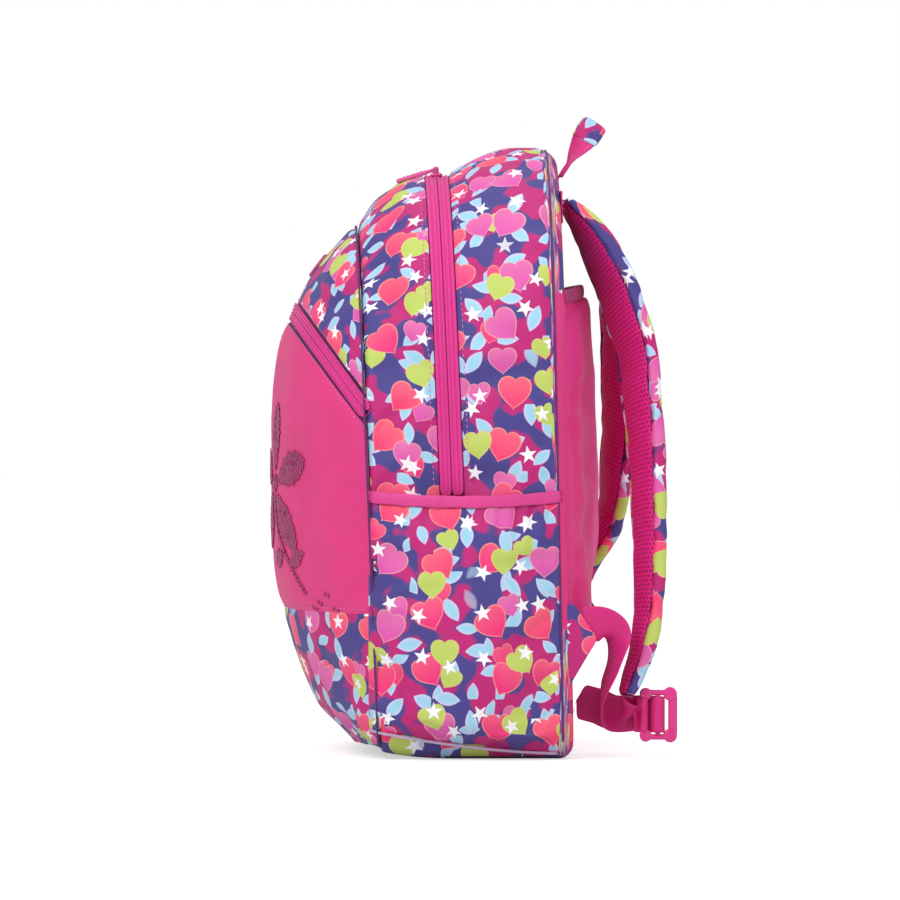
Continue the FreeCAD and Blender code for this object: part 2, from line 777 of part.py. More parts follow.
def webbing_parts():
    """Webbing from each anchor wing through its lock, with a free tail."""
    inside = wing_x - web_thickness / 2 - clearance
    down = Vec(0, 0, -1)
    right_lock = lock_frames["right"]
    right = [(Vec(inside, 86, 97), Vec(0, 0.2, 0.98)), (Vec(140, 100, 97), Vec(0.15, 0.25, 0.95)),
             (Vec(136, 110, 89), Vec(0.6, 0.45, 0.65)), (Vec(128, 108, 68), Vec(0.95, 0.3, 0)),
             (Vec(114, 101, 47), Vec(0.78, 0, -0.62)), (Vec(101, 102, 34), Vec(0.4, 0, -0.9)),
             (Vec(92, 112, 30), down), (Vec(94, 124, 31), down)]
    right += [(lock_point(right_lock, along, outward), down) for along, outward in (
        (3, -8), (6.2, -1.5), (7.4, 2.9), (10.3, 4.2), (13.4, 2.9), (14.6, -1.5),
        (11, -14), (-2, -24), (-20, -27))]
    right.append((Vec(86, 98, 36), down))
    right.append((Vec(88, 83, 40), down))
    left_lock = lock_frames["left"]
    level = Vec(1, 0, 0)
    left = [(Vec(-inside, 86, 97), Vec(0, 0.2, 0.98)), (Vec(-137.5, 96, 96), Vec(0.4, 0.3, 0.87)),
            (Vec(-125, 100, 91), Vec(0.95, 0.1, 0.2)), (Vec(-116.5, 97, 85), level)]
    left += [(lock_point(left_lock, along, outward), level) for along, outward in (
        (20, 4.4), (25, 2.4), (25.5, -1.4), (22, -4.0), (17, -3.4), (13.4, 2.9), (10.3, 4.2), (7.4, 2.9),
        (5.9, -1.5), (9, -6), (18, -7.4), (36, -7.0))]
    return {"strap_webbing_right": ribbon(right, web_width, web_thickness),
            "strap_webbing_left": ribbon(left, web_width, web_thickness)}


def lock_parts():
    level = Vec(1, 0, 0)
    right = lock_frames["right"]
    left = lock_frames["left"]
    return {
        "ladder_lock_right": lock_solid(right),
        "ladder_lock_left": lock_solid(left),
        "strap_tab_right": tab_solid(right, Vec(112, 115.9, 42.1), level,
                                     Vec(112, 121, 32.5), Vec(0.6, 0, 0.8)),
        "strap_tab_left": tab_solid(left, Vec(-117.2, 91.2, 110.9), Vec(0.97, -0.06, -0.17),
                                    Vec(-117.6, 90, 107.4), level),
    }


# ---- haul loop --------------------------------------------------------------------------


def haul_root():
    return Vec(0, back_face_y(haul_z) + clearance + haul_bead, haul_z)


def haul_point(x, up, out=0.0):
    root = haul_root()
    return Vec(x, root.y + up * sine(haul_lean) + out * cosine(haul_lean),
               root.z + up * cosine(haul_lean) - out * sine(haul_lean))


def haul_parts():
    level = Vec(1, 0, 0)
    back = Vec(0, cosine(haul_lean), -sine(haul_lean))
    bar_low = haul_height - haul_thickness
    leg = ribbon([(haul_point(haul_x, haul_bead - 0.5), level), (haul_point(haul_x, 14), level),
                  (haul_point(haul_x - 3, 30), (level + back * 2)), (haul_point(haul_x - 5, bar_low), back)],
                 haul_width, haul_thickness)
    bead = Part.makeCylinder(haul_bead, haul_width, haul_point(haul_x - haul_width / 2, 0), level)
    bar_half = haul_x - 5 + haul_thickness / 2
    up = Vec(0, sine(haul_lean), cosine(haul_lean))
    bar = placed(box(-bar_half, bar_half, -haul_width / 2, haul_width / 2, bar_low, haul_height),
                 haul_root(), level, back, up)
    webbing = bar.multiFuse([leg, mirrored(leg), bead, mirrored(bead)])
    grip_low = haul_height - haul_thickness / 2 - grip_height / 2
    grip = placed(box(-grip_half, grip_half, -haul_width / 2 - grip_margin, haul_width / 2 + grip_margin,
                      grip_low, grip_low + grip_height), haul_root(), level, back, up)
    edges = [edge for edge in grip.Edges if abs(edge.tangentAt(edge.FirstParameter).x) > 0.9]
    grip = grip.makeFillet(grip_height / 3, edges)
    return {"haul_webbing": webbing, "haul_grip": grip.cut(bar)}


def model():
    parts = {}
    for build in (body_parts, main_zip_parts, main_slider_parts, dome_parts, pocket_slider_parts, back_parts,
                  piping_parts, side_pocket_parts, lock_parts, webbing_parts, haul_parts):
        parts.update(build())
    parts.update(strap_parts("right", route_right))
    parts.update(strap_parts("left", route_left))
    return parts


os.makedirs("parts", exist_ok=True)
for node, shape in model().items():
    print(node, "solids", len(shape.Solids), "volume", round(shape.Volume), "valid", shape.isValid())
    shape.exportStep("parts/" + node + ".step")
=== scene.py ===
import bpy
import functools
import math
from mathutils import Matrix, Vector, noise
from mathutils.bvhtree import BVHTree


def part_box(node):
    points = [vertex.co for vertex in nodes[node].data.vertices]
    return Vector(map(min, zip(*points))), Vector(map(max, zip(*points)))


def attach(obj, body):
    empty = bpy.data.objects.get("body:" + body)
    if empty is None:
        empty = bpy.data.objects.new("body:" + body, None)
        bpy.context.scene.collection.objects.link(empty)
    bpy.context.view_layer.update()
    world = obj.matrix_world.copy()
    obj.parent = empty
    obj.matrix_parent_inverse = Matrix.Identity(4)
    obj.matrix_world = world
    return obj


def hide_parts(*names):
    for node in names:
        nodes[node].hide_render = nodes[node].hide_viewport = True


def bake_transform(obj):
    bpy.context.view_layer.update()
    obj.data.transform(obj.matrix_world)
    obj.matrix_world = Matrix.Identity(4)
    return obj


# A child's school backpack. Shape functions work in millimetres, meshes in metres.
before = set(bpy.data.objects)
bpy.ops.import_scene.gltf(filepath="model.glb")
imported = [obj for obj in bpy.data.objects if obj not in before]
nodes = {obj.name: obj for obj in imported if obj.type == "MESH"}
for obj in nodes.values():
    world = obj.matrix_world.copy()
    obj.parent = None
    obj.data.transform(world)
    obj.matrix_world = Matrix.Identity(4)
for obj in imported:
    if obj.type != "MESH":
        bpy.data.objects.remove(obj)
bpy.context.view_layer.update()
scene = bpy.context.scene
mm = 0.001

print("frame loaded:", len(nodes), "nodes")


def sine(angle):
    return math.sin(math.radians(angle))


def cosine(angle):
    return math.cos(math.radians(angle))


def spread(low, high, steps):
    return [low + (high - low) * step / steps for step in range(steps + 1)]


def between(low, high, share):
    return low + (high - low) * share


def ease(value):
    value = min(max(value, 0.0), 1.0)
    return value * value * (3 - 2 * value)


def cloud(x, y, z, size):
    # Smooth noise at a point, up to about the given size.
    return noise.noise(Vector((x, y, z))) * size


def bow(half, depth, share):
    # Across and out on a bow of this half width and depth, share from 0 to 1 along it.
    radius = (half * half + depth * depth) / (2 * depth)
    turn = math.asin(min(half / radius, 1.0))
    if depth > half:
        turn = math.pi - turn
    angle = (share * 2 - 1) * turn
    return radius * math.sin(angle), depth - radius + radius * math.cos(angle)


# Shader maths written as plain expressions.

class Wire:
    def __init__(self, tree, socket):
        self.tree = tree
        self.socket = socket

    def maths(self, operation, *others):
        node = self.tree.nodes.new("ShaderNodeMath")
        node.operation = operation
        for slot, value in zip(node.inputs, others):
            if isinstance(value, Wire):
                self.tree.links.new(value.socket, slot)
            else:
                slot.default_value = value
        return Wire(self.tree, node.outputs[0])

    def __add__(self, other):
        return self.maths("ADD", self, other)

    def __radd__(self, other):
        return self.maths("ADD", other, self)

    def __sub__(self, other):
        return self.maths("SUBTRACT", self, other)

    def __rsub__(self, other):
        return self.maths("SUBTRACT", other, self)

    def __mul__(self, other):
        return self.maths("MULTIPLY", self, other)

    def __rmul__(self, other):
        return self.maths("MULTIPLY", other, self)

    def __truediv__(self, other):
        return self.maths("DIVIDE", self, other)

    def floor(self):
        return self.maths("FLOOR", self)

    def size(self):
        return self.maths("ABSOLUTE", self)

    def root(self):
        return self.maths("SQRT", self)

    def sin(self):
        return self.maths("SINE", self)

    def cos(self):
        return self.maths("COSINE", self)

    def wrap(self, span):
        return self.maths("FLOORED_MODULO", self, span)

    def clamp(self):
        node = self.tree.nodes.new("ShaderNodeClamp")
        self.tree.links.new(self.socket, node.inputs[0])
        return Wire(self.tree, node.outputs[0])


class Finish:
    # One material: a Principled shader, and a method that adds any other node.
    def __init__(self, name, colour, roughness, sheen=0.0, metallic=0.0, coat=0.0):
        self.material = bpy.data.materials.new(name)
        self.material.use_nodes = True
        self.tree = self.material.node_tree
        self.shader = self.tree.nodes["Principled BSDF"]
        self.shader.inputs["Base Color"].default_value = paint(colour)
        self.shader.inputs["Roughness"].default_value = roughness
        self.shader.inputs["Sheen Weight"].default_value = sheen
        self.shader.inputs["Metallic"].default_value = metallic
        self.shader.inputs["Coat Weight"].default_value = coat
        self.material.diffuse_color = paint(colour)

    def node(self, kind, settings=None, output=0, **sockets):
        made = self.tree.nodes.new(kind)
        for key, value in (settings or {}).items():
            if key == "stops":
                ramp = made.color_ramp
                ramp.interpolation = "CONSTANT" if (settings or {}).get("hard") else "LINEAR"
                while len(ramp.elements) < len(value):
                    ramp.elements.new(1.0)
                for element, (place, colour) in zip(ramp.elements, value):
                    element.position = place
                    element.color = paint(colour)
            elif key != "hard":
                setattr(made, key, value)
        for key, value in sockets.items():
            # A socket is given by its name, or as i and its number where names repeat.
            numbered = key[0] == "i" and key[1:].isdigit()
            name = int(key[1:]) if numbered else key.replace("_", " ")
            self.feed(made.inputs[name], value)
        return Wire(self.tree, made.outputs[output])

    def feed(self, slot, value):
        if isinstance(value, Wire):
            self.tree.links.new(value.socket, slot)
        elif isinstance(value, tuple) and slot.type == "RGBA":
            slot.default_value = paint(value)
        else:
            slot.default_value = value

    def uv(self, scale=1000.0):
        place = self.node("ShaderNodeUVMap", {"uv_map": "UVMap"})
        apart = self.tree.nodes.new("ShaderNodeSeparateXYZ")
        self.tree.links.new(place.socket, apart.inputs[0])
        return Wire(self.tree, apart.outputs[0]) * scale, Wire(self.tree, apart.outputs[1]) * scale

    def here(self):
        made = self.tree.nodes.new("ShaderNodeTexCoord")
        return Wire(self.tree, made.outputs["Object"])

    def join(self, x, y, z=0.0):
        return self.node("ShaderNodeCombineXYZ", None, 0, i0=x, i1=y, i2=z)

    def mix(self, factor, first, second):
        made = self.tree.nodes.new("ShaderNodeMix")
        made.data_type = "RGBA"
        made.clamp_factor = True
        self.feed(made.inputs[0], factor)
        self.feed(made.inputs[6], first)
        self.feed(made.inputs[7], second)
        return Wire(self.tree, made.outputs[2])

    def grain(self, vector, scale, detail=2.0, rough=0.5):
        return self.node("ShaderNodeTexNoise", None, 0, Vector=vector, Scale=scale, Detail=detail,
                         Roughness=rough)

    def colour(self, value):
        self.feed(self.shader.inputs["Base Color"], value)

    def roughness(self, value):
        self.feed(self.shader.inputs["Roughness"], value)

    def bump(self, height, strength=0.3, distance=0.0004):
        made = self.tree.nodes.new("ShaderNodeBump")
        made.inputs["Strength"].default_value = strength
        made.inputs["Distance"].default_value = distance
        self.tree.links.new(height.socket, made.inputs["Height"])
        self.tree.links.new(made.outputs[0], self.shader.inputs["Normal"])


def paint(colour):
    # Everyday 0 to 255 values to the linear ones that a shader takes.
    if len(colour) == 4:
        return colour
    line = [c / 255 for c in colour]
    return tuple(c / 12.92 if c <= 0.04045 else ((c + 0.055) / 1.055) ** 2.4 for c in line) + (1.0,)


# Cloth printed all over with hearts, stars and leaves.

printLook = {
    "indigo": (60, 62, 140), "magenta": (200, 12, 116), "outline": (120, 40, 130),
    "coral": (250, 62, 120), "orchid": (226, 84, 176), "rose": (244, 40, 124),
    "lime": (190, 212, 96),
    "peach": (252, 216, 150), "leaf": (158, 214, 238), "leafRim": (200, 208, 242),
    "star": (252, 250, 255),
    "blotch": 26.0, "edge": 0.45,
}


def motifCell(cloth, x, y, pitch, shift, seed, jitter, turn):
    # The nearest motif's own axes: each cell of the repeat has one, moved and turned by chance.
    across = x / pitch + shift
    up = y / pitch + shift * 0.6
    column = across.floor()
    row = up.floor()
    chance = cloth.node("ShaderNodeTexWhiteNoise", {"noise_dimensions": "3D"}, 1,
                        Vector=cloth.join(column, row, seed))
    apart = cloth.tree.nodes.new("ShaderNodeSeparateColor")
    cloth.tree.links.new(chance.socket, apart.inputs[0])
    first, second, third = [Wire(cloth.tree, apart.outputs[index]) for index in range(3)]
    dx = (across - column - 0.5) * pitch - (first - 0.5) * jitter
    dy = (up - row - 0.5) * pitch - (second - 0.5) * jitter
    angle = (third - 0.5) * turn
    c = angle.cos()
    s = angle.sin()
    pick = (first * 7.31 + third * 3.17).wrap(1.0)
    return dx * c + dy * s, dy * c - dx * s, pick


def heartField(dx, dy, radius):
    # Below 1 inside the heart.
    x = dx / radius
    y = (dy / radius + 0.13) * 1.15 - x.size().root() * 0.62
    return (x * x + y * y).root()


def starField(dx, dy, radius):
    # Negative inside a five-pointed star.
    reach = (dx * dx + dy * dy).root()
    angle = (dx.maths("ARCTAN2", dx, dy) + 0.6283).wrap(1.2566) - 0.6283
    return reach * (angle.cos() * 0.33 + angle.sin().size() * 0.944) - 0.33 * radius


def leafField(dx, dy, length):
    x = dx.size() - length * 0.62
    along = x * 0.8 + dy * 0.6
    side = dy * 0.8 - x * 0.6
    u = along / (length * 0.5)
    return side.size() / (length * 0.25) - (1.0 - u * u)


def printGround(cloth, x, y):
    look = printLook
    spot = cloth.join(x, y)
    blot = cloth.grain(spot, 1.0 / look["blotch"], 1.0)
    fine = cloth.grain(spot, 0.5, 2.0)
    mask = ((blot + fine * 0.05 - 0.52) * 26.0).clamp()
    base = cloth.mix(mask, look["indigo"], look["magenta"])
    return cloth.mix(fine * 0.2, base, look["outline"])


def buildPrint(name):
    look = printLook
    cloth = Finish(name, look["magenta"], 0.62, 0.06)
    x, y = cloth.uv()
    edge = look["edge"]
    colour = printGround(cloth, x, y)

    def over(under, mask, top):
        return cloth.mix(mask.clamp(), under, top)

    for pitch, shift, seed, length in ((31.0, 0.35, 3.0, 17.0), (39.0, 0.8, 9.0, 20.0)):
        dx, dy, pick = motifCell(cloth, x, y, pitch, shift, seed, 12.0, 6.2)
        field = leafField(dx, dy, length)
        shown = (0.62 - pick) * 60.0
        rim = field * -4.5 / edge
        colour = over(colour, rim.maths("MINIMUM", rim, shown), look["leafRim"])
        inner = (field + 0.28) * -4.0
        colour = over(colour, inner.maths("MINIMUM", inner, shown), look["leaf"])

    hearts = (
        (47.0, 0.27, 57.0, 8.4, 22.0,
         ((0.0, look["orchid"]), (0.5, look["rose"]), (0.7, look["lime"]))),
        (41.0, 0.1, 21.0, 12.2, 14.0,
         ((0.0, look["coral"]), (0.4, look["orchid"]), (0.66, look["rose"]))),
        (54.0, 0.55, 33.0, 10.4, 24.0,
         ((0.0, look["lime"]), (0.62, look["orchid"]), (0.8, look["lime"]))),
    )
    for pitch, shift, seed, radius, jitter, colours in hearts:
        dx, dy, pick = motifCell(cloth, x, y, pitch, shift, seed, jitter, 1.5)
        field = heartField(dx, dy, radius)
        tone = cloth.node("ShaderNodeValToRGB", {"stops": colours, "hard": True}, 0, Fac=pick)
        rimTone = cloth.mix(0.4, tone, look["peach"])
        colour = over(colour, (1.0 - field) * radius / edge, rimTone)
        shade = (dy / radius) * 0.08 + 0.04
        colour = over(colour, (0.93 - field) * radius / edge, cloth.mix(shade, tone, look["peach"]))

    for pitch, shift, seed, radius in ((36.0, 0.7, 71.0, 6.9), (47.0, 0.15, 83.0, 6.3)):
        dx, dy, pick = motifCell(cloth, x, y, pitch, shift, seed, 18.0, 1.2)
        field = starField(dx, dy, radius)
        shown = (0.78 - pick) * 60.0
        cover = field * -2.4 / edge
        colour = over(colour, cover.maths("MINIMUM", cover, shown), look["star"])

    cloth.colour(colour)
    weave = (x * 7.4).sin() * (y * 7.4).sin()
    creases = cloth.grain(cloth.here(), 160.0, 3.0)
    cloth.bump(weave * 0.25 + creases, 0.22, 0.0006)
    cloth.roughness(creases * 0.12 + 0.55)
    return cloth.material


def buildWoven(name, colour, dark, pitch=0.9, roughness=0.6, sheen=0.08, bump=0.3):
    # Plain woven cloth with slight unevenness of dye.
    cloth = Finish(name, colour, roughness, sheen)
    x, y = cloth.uv()
    turn = 6.2832 / pitch
    weave = (x * turn).sin() * (y * turn).sin()
    cloudy = cloth.grain(cloth.here(), 22.0, 3.0)
    fine = cloth.grain(cloth.here(), 900.0, 1.0)
    cloth.colour(cloth.mix((cloudy - 0.35) * 0.55 + fine * 0.12, colour, dark))
    cloth.bump(weave * 0.4 + fine + cloudy * 0.5, bump, 0.0004)
    cloth.roughness(fine * 0.15 + (roughness - 0.08))
    return cloth.material


def buildWebbing(name, colour, dark):
    # Flat webbing: ribs along it and a fine herringbone across.
    cloth = Finish(name, colour, 0.5, 0.05)
    x, y = cloth.uv()
    ribs = (x * 2.2).sin()
    twill = (y * 3.6 + ribs * 1.2).sin()
    fine = cloth.grain(cloth.here(), 700.0, 1.0)
    cloth.colour(cloth.mix((twill * 0.1 + 0.1) + fine * 0.1, colour, dark))
    cloth.bump(twill * 0.6 + ribs * 0.5, 0.3, 0.0003)
    return cloth.material


def buildMesh(name, colour, dark):
    # Spacer mesh: rows of small rounded holes, darkened with painted shade inside them.
    cloth = Finish(name, colour, 0.65, 0.05)
    x, y = cloth.uv()
    u = x / 3.6
    v = y / 3.2
    odd = (v.floor() * 0.5).wrap(1.0)
    cu = (u + odd).wrap(1.0) - 0.5
    cv = v.wrap(1.0) - 0.5
    holeAndShadeMask = ((cu * cu * 5.2 + cv * cv * 5.2) * -1.0 + 0.62) * 5.0
    fine = cloth.grain(cloth.here(), 800.0, 1.0)
    # The holes are mixed toward the dark colour: painted shade in the mesh's recesses, over a fine
    # random tone.
    cloth.colour(cloth.mix(holeAndShadeMask.clamp() * 0.85, cloth.mix(fine * 0.4, colour, dark), dark))
    cloth.bump(holeAndShadeMask.clamp() * -1.0 + fine * 0.3, 0.8, 0.001)
    return cloth.material


def buildMoulded(name, colour, roughness, metallic=0.0, coat=0.0):
    # Moulded or cast parts: faint mottling and fine scratches.
    part = Finish(name, colour, roughness, 0.0, metallic, coat)
    broad = part.grain(part.here(), 60.0, 2.0)
    fine = part.grain(part.here(), 1500.0, 2.0)
    darker = tuple(c * 0.78 for c in colour)
    part.colour(part.mix((broad - 0.4) * 0.7, colour, darker))
    part.roughness(fine * 0.2 + (roughness - 0.1))
    part.bump(fine, 0.12, 0.0002)
    return part.material


pink = (232, 50, 134)
pinkShade = (196, 26, 100)
finishes = {
    "printCloth": buildPrint("printCloth"),
    "pinkCloth": buildWoven("pinkCloth", pink, pinkShade),
    "sleeveCloth": buildWoven("sleeveCloth", (244, 46, 148), (206, 22, 116)),
    "bindingTape": buildWoven("bindingTape", (230, 62, 150), (176, 26, 100), 1.6, 0.5),
    "hemTape": buildWoven("hemTape", (176, 34, 110), (120, 16, 74), 1.6, 0.55),
    "darkBinding": buildWoven("darkBinding", (92, 34, 108), (54, 22, 80), 1.4, 0.6),
    "paleEdge": buildWoven("paleEdge", (204, 178, 206), (120, 90, 150), 1.4, 0.6),
    # airMesh's darker colour is also the painted shade inside the mesh holes.
    "airMesh": buildMesh("airMesh", (244, 16, 146), (140, 2, 82)),
    "strapWebbing": buildWebbing("strapWebbing", (222, 28, 130), (160, 10, 86)),
    "zipTape": buildWoven("zipTape", (228, 46, 148), (172, 20, 102), 1.2, 0.5),
    "zipCoil": buildMoulded("zipCoil", (206, 40, 124), 0.4),
    "sliderMetal": buildMoulded("sliderMetal", (214, 80, 150), 0.35, 0.35, 0.4),
    "pullerRubber": buildMoulded("pullerRubber", (222, 84, 158), 0.45),
    "lockPlastic": buildMoulded("lockPlastic", (228, 40, 138), 0.3, 0.0, 0.4),
    "labelRubber": buildMoulded("labelRubber", (196, 34, 122), 0.4, 0.0, 0.2),
    "thread": buildMoulded("thread", (236, 124, 188), 0.6),
    "lining": buildWoven("lining", (90, 40, 96), (50, 20, 60), 0.8, 0.7),
    "foam": buildMoulded("foam", (226, 222, 214), 0.9),
    "board": buildMoulded("board", (60, 58, 66), 0.6),
    "sequin": buildMoulded("sequin", (176, 20, 108), 0.26, 0.5, 0.5),
}

print("finishes made:", len(finishes))


# Sheets of cloth laid out as rows of points.

clothLook = {"frames": 20, "quality": 5, "mass": 0.3, "stiffness": 0.6}


def sheetFrom(name, rows, uvs, materials, pick=None):
    bpy.ops.object.select_all(action="DESELECT")
    across = len(rows[0])
    bpy.ops.mesh.primitive_grid_add(x_subdivisions=across - 1, y_subdivisions=len(rows) - 1, size=1)
    piece = bpy.context.object
    piece.name = name
    mesh = piece.data
    places = [point for row in rows for point in row]
    flat = [uv for row in uvs for uv in row]
    mesh.vertices.foreach_set("co", [value * mm for point in places for value in point])
    layer = mesh.uv_layers[0]
    layer.name = "UVMap"
    for loop in mesh.loops:
        u, v = flat[loop.vertex_index]
        layer.data[loop.index].uv = (u * mm, v * mm)
    for material in materials:
        mesh.materials.append(finishes[material])
    if pick:
        # Each finish has its own marker, so that the sheet can be split even where two parts
        # share a cloth.
        mesh.materials.clear()
        for index, material in enumerate(materials):
            marker = bpy.data.materials.new("%s.part%d" % (name, index))
            marker["finish"] = material
            mesh.materials.append(marker)
        for index, face in enumerate(mesh.polygons):
            face.material_index = pick(index // (across - 1), face.center / mm)
    mesh.update()
    return piece


def only(piece):
    bpy.ops.object.select_all(action="DESELECT")
    piece.select_set(True)
    bpy.context.view_layer.objects.active = piece


def apply(piece, kind, name, **settings):
    only(piece)
    modifier = piece.modifiers.new(name, kind)
    for key, value in settings.items():
        setattr(modifier, key, value)
    bpy.ops.object.modifier_apply(modifier=modifier.name)


def weld(piece, distance=0.00005):
    only(piece)
    bpy.ops.object.mode_set(mode="EDIT")
    bpy.ops.mesh.select_all(action="SELECT")
    bpy.ops.mesh.remove_doubles(threshold=distance)
    bpy.ops.object.mode_set(mode="OBJECT")


def swell(piece, pinned, pressure, cap, slack):
    # Cloth filled from inside between its pinned seams, held to a cap, and applied.
    mesh = piece.data
    before = [vertex.co.copy() for vertex in mesh.vertices]
    group = piece.vertex_groups.new(name="seams")
    for vertex in mesh.vertices:
        group.add([vertex.index], pinned(vertex.co / mm), "REPLACE")
    only(piece)
    modifier = piece.modifiers.new("cloth", "CLOTH")
    settings = modifier.settings
    settings.vertex_group_mass = "seams"
    settings.use_pressure = True
    settings.uniform_pressure_force = pressure
    settings.effector_weights.gravity = 0
    settings.shrink_min = -slack
    settings.quality = clothLook["quality"]
    settings.mass = clothLook["mass"]
    settings.bending_stiffness = clothLook["stiffness"]
    modifier.point_cache.frame_start = 1
    modifier.point_cache.frame_end = clothLook["frames"]
    for step in range(1, clothLook["frames"] + 1):
        scene.frame_set(step)
    bpy.ops.object.modifier_apply(modifier=modifier.name)
    scene.frame_set(1)
    piece.vertex_groups.clear()
    for vertex, start in zip(mesh.vertices, before):
        move = vertex.co - start
        if move.length > cap * mm:
            vertex.co = start + move * (cap * mm / move.length)
    mesh.update()


def rumple(piece, amount):
    # amount(point, normal) gives how far each point stands out, in millimetres.
    mesh = piece.data
    mesh.update()
    shifts = [vertex.normal * amount(vertex.co / mm, vertex.normal) * mm
              for vertex in mesh.vertices]
    for vertex, shift in zip(mesh.vertices, shifts):
        vertex.co += shift
    mesh.update()


def soften(piece, levels=1):
    if levels:
        apply(piece, "SUBSURF", "subdivision", levels=levels, render_levels=levels)
    only(piece)
    bpy.ops.object.shade_smooth()


def place(piece, body, slotName, *replaced):
    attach(piece, body)
    if replaced:
        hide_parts(*replaced)
    return piece


def splitByMaterial(piece, names):
    # One object per finish, named in the order of the sheet's finishes.
    only(piece)
    bpy.ops.object.mode_set(mode="EDIT")
    bpy.ops.mesh.select_all(action="SELECT")
    bpy.ops.mesh.separate(type="MATERIAL")
    bpy.ops.object.mode_set(mode="OBJECT")
    made = {}
    for part in list(bpy.context.selected_objects):
        marker = part.data.materials[part.data.polygons[0].material_index]
        name = names[int(marker.name.split(".part")[1].split(".")[0])]
        part.data.materials.clear()
        part.data.materials.append(finishes[marker["finish"]])
        for face in part.data.polygons:
            face.material_index = 0
        part.name = name
        part.data.name = name
        made[name] = part
    return made


# Body: leaning seam planes with a flat foot and a half-round top.

bodyShape = {
    "halfWidth": 150.0, "corner": 30.0,
    "backY": 72.0, "backLean": 1.2, "backCrown": 438.0,
    "zipY": 0.0, "zipLean": 2.3, "zipCrown": 420.0,
    "seamY": -59.0, "seamCrown": 383.0, "seamFoot": 5.0,
    "gussetSwell": 4.0, "split": 188.0, "puff": 8.0, "round": 10.0, "tapeHalf": 8.5,
    "channel": 4.2, "swell": (4.0, 5.5, 0.035), "fill": 0.6, "footLine": 9.0,
    "lowerBack": (96.0, 334.0),
}


def outline(crown, foot, inset=0.0):
    # Half the outline, from the middle of the foot to the crown, as x and height.
    shape = bodyShape
    half = shape["halfWidth"] - inset
    low = foot + inset
    corner = max(shape["corner"] - inset, 1.0)
    spring = crown - shape["halfWidth"]
    points = [(x, low) for x in spread(0, half - corner, 16)]
    points += [(half - corner + corner * sine(a), low + corner - corner * cosine(a))
               for a in spread(0, 90, 8)[1:]]
    points += [(half, height) for height in spread(low + corner, spring, 36)[1:]]
    points += [(half * cosine(a), spring + half * sine(a)) for a in spread(0, 90, 44)[1:]]
    return points


def ring(baseY, lean, crown, foot=0.0, inset=0.0):
    half = outline(crown, foot, inset)
    full = half + [(-x, height) for x, height in reversed(half[:-1])]
    return [Vector((x, baseY - height * sine(lean), height * cosine(lean))) for x, height in full]


def gussetRing(share, first, last, crowns, leans, feet, inset=0.0):
    shape = bodyShape
    crown = between(*crowns, share) + shape["gussetSwell"] * 4 * share * (1 - share)
    lean = between(*leans, share)
    foot = between(*feet, share ** 2)
    return ring(between(first, last, share), lean, crown, foot, inset)


def shrunk(points, scale):
    centre = Vector((0, 0, 0))
    for point in points:
        centre += point / len(points)
    return [centre + (point - centre) * scale for point in points]


def bodyRows():
    # Rings from the middle of the back, over the seams, to the plane behind the front dome.
    shape = bodyShape
    rows = []

    def add(points, tag):
        rows.append((points, tag))

    flat = ring(shape["backY"] + shape["puff"], shape["backLean"], shape["backCrown"], 0,
                shape["round"])
    for scale in (0.0, 0.15, 0.3, 0.45, 0.6, 0.72, 0.82, 0.9, 0.96):
        add(shrunk(flat, scale), "back")
    add(flat, "back")
    for depth, inset in ((0.92, 0.68), (0.65, 0.35), (0.3, 0.12)):
        add(ring(shape["backY"] + shape["puff"] * depth, shape["backLean"], shape["backCrown"], 0,
                 shape["round"] * inset), "back")
    rearCrowns = (shape["zipCrown"], shape["backCrown"])
    rearLeans = (shape["zipLean"], shape["backLean"])
    first = shape["zipY"] + shape["tapeHalf"]
    for share in spread(1, 0, 15):
        add(gussetRing(share, first, shape["backY"], rearCrowns, rearLeans, (0, 0)), "rear")
    for offset, depth in ((7.6, 1.0), (2.5, 1.0), (-2.5, 1.0), (-7.6, 1.0)):
        points = ring(shape["zipY"] + offset, shape["zipLean"], shape["zipCrown"], 0)
        sunk = ring(shape["zipY"] + offset, shape["zipLean"], shape["zipCrown"], 0,
                    shape["channel"] * depth)
        mixed = [b if a.z > shape["split"] else a for a, b in zip(points, sunk)]
        add(mixed, "zip")
    frontCrowns = (shape["zipCrown"], shape["seamCrown"])
    frontLeans = (shape["zipLean"], shape["zipLean"])
    first = shape["zipY"] - shape["tapeHalf"]
    for share in spread(0, 1, 12):
        add(gussetRing(share, first, shape["seamY"], frontCrowns, frontLeans,
                       (0, shape["seamFoot"])), "front")
    edge = ring(shape["seamY"], shape["zipLean"], shape["seamCrown"], shape["seamFoot"])
    for scale in (0.9, 0.7, 0.4, 0.0):
        add(shrunk(edge, scale), "inside")
    return rows


def printHeight(p, spring):
    # Upright on the sides; over the top the print follows the arch of the main zip.
    radius = bodyShape["halfWidth"]
    crown = bodyShape["zipCrown"] - radius + radius * math.pi / 2
    turn = math.atan2(max(p.z - spring, 0), abs(p.x) + 0.01)
    upright = min(p.z, spring) + radius * turn
    arched = crown - radius * (math.pi / 2 - turn)
    height = upright + (arched - upright) * ease((turn - 0.3) / 1.1)
    return height if p.x > 0 else 2 * crown - height


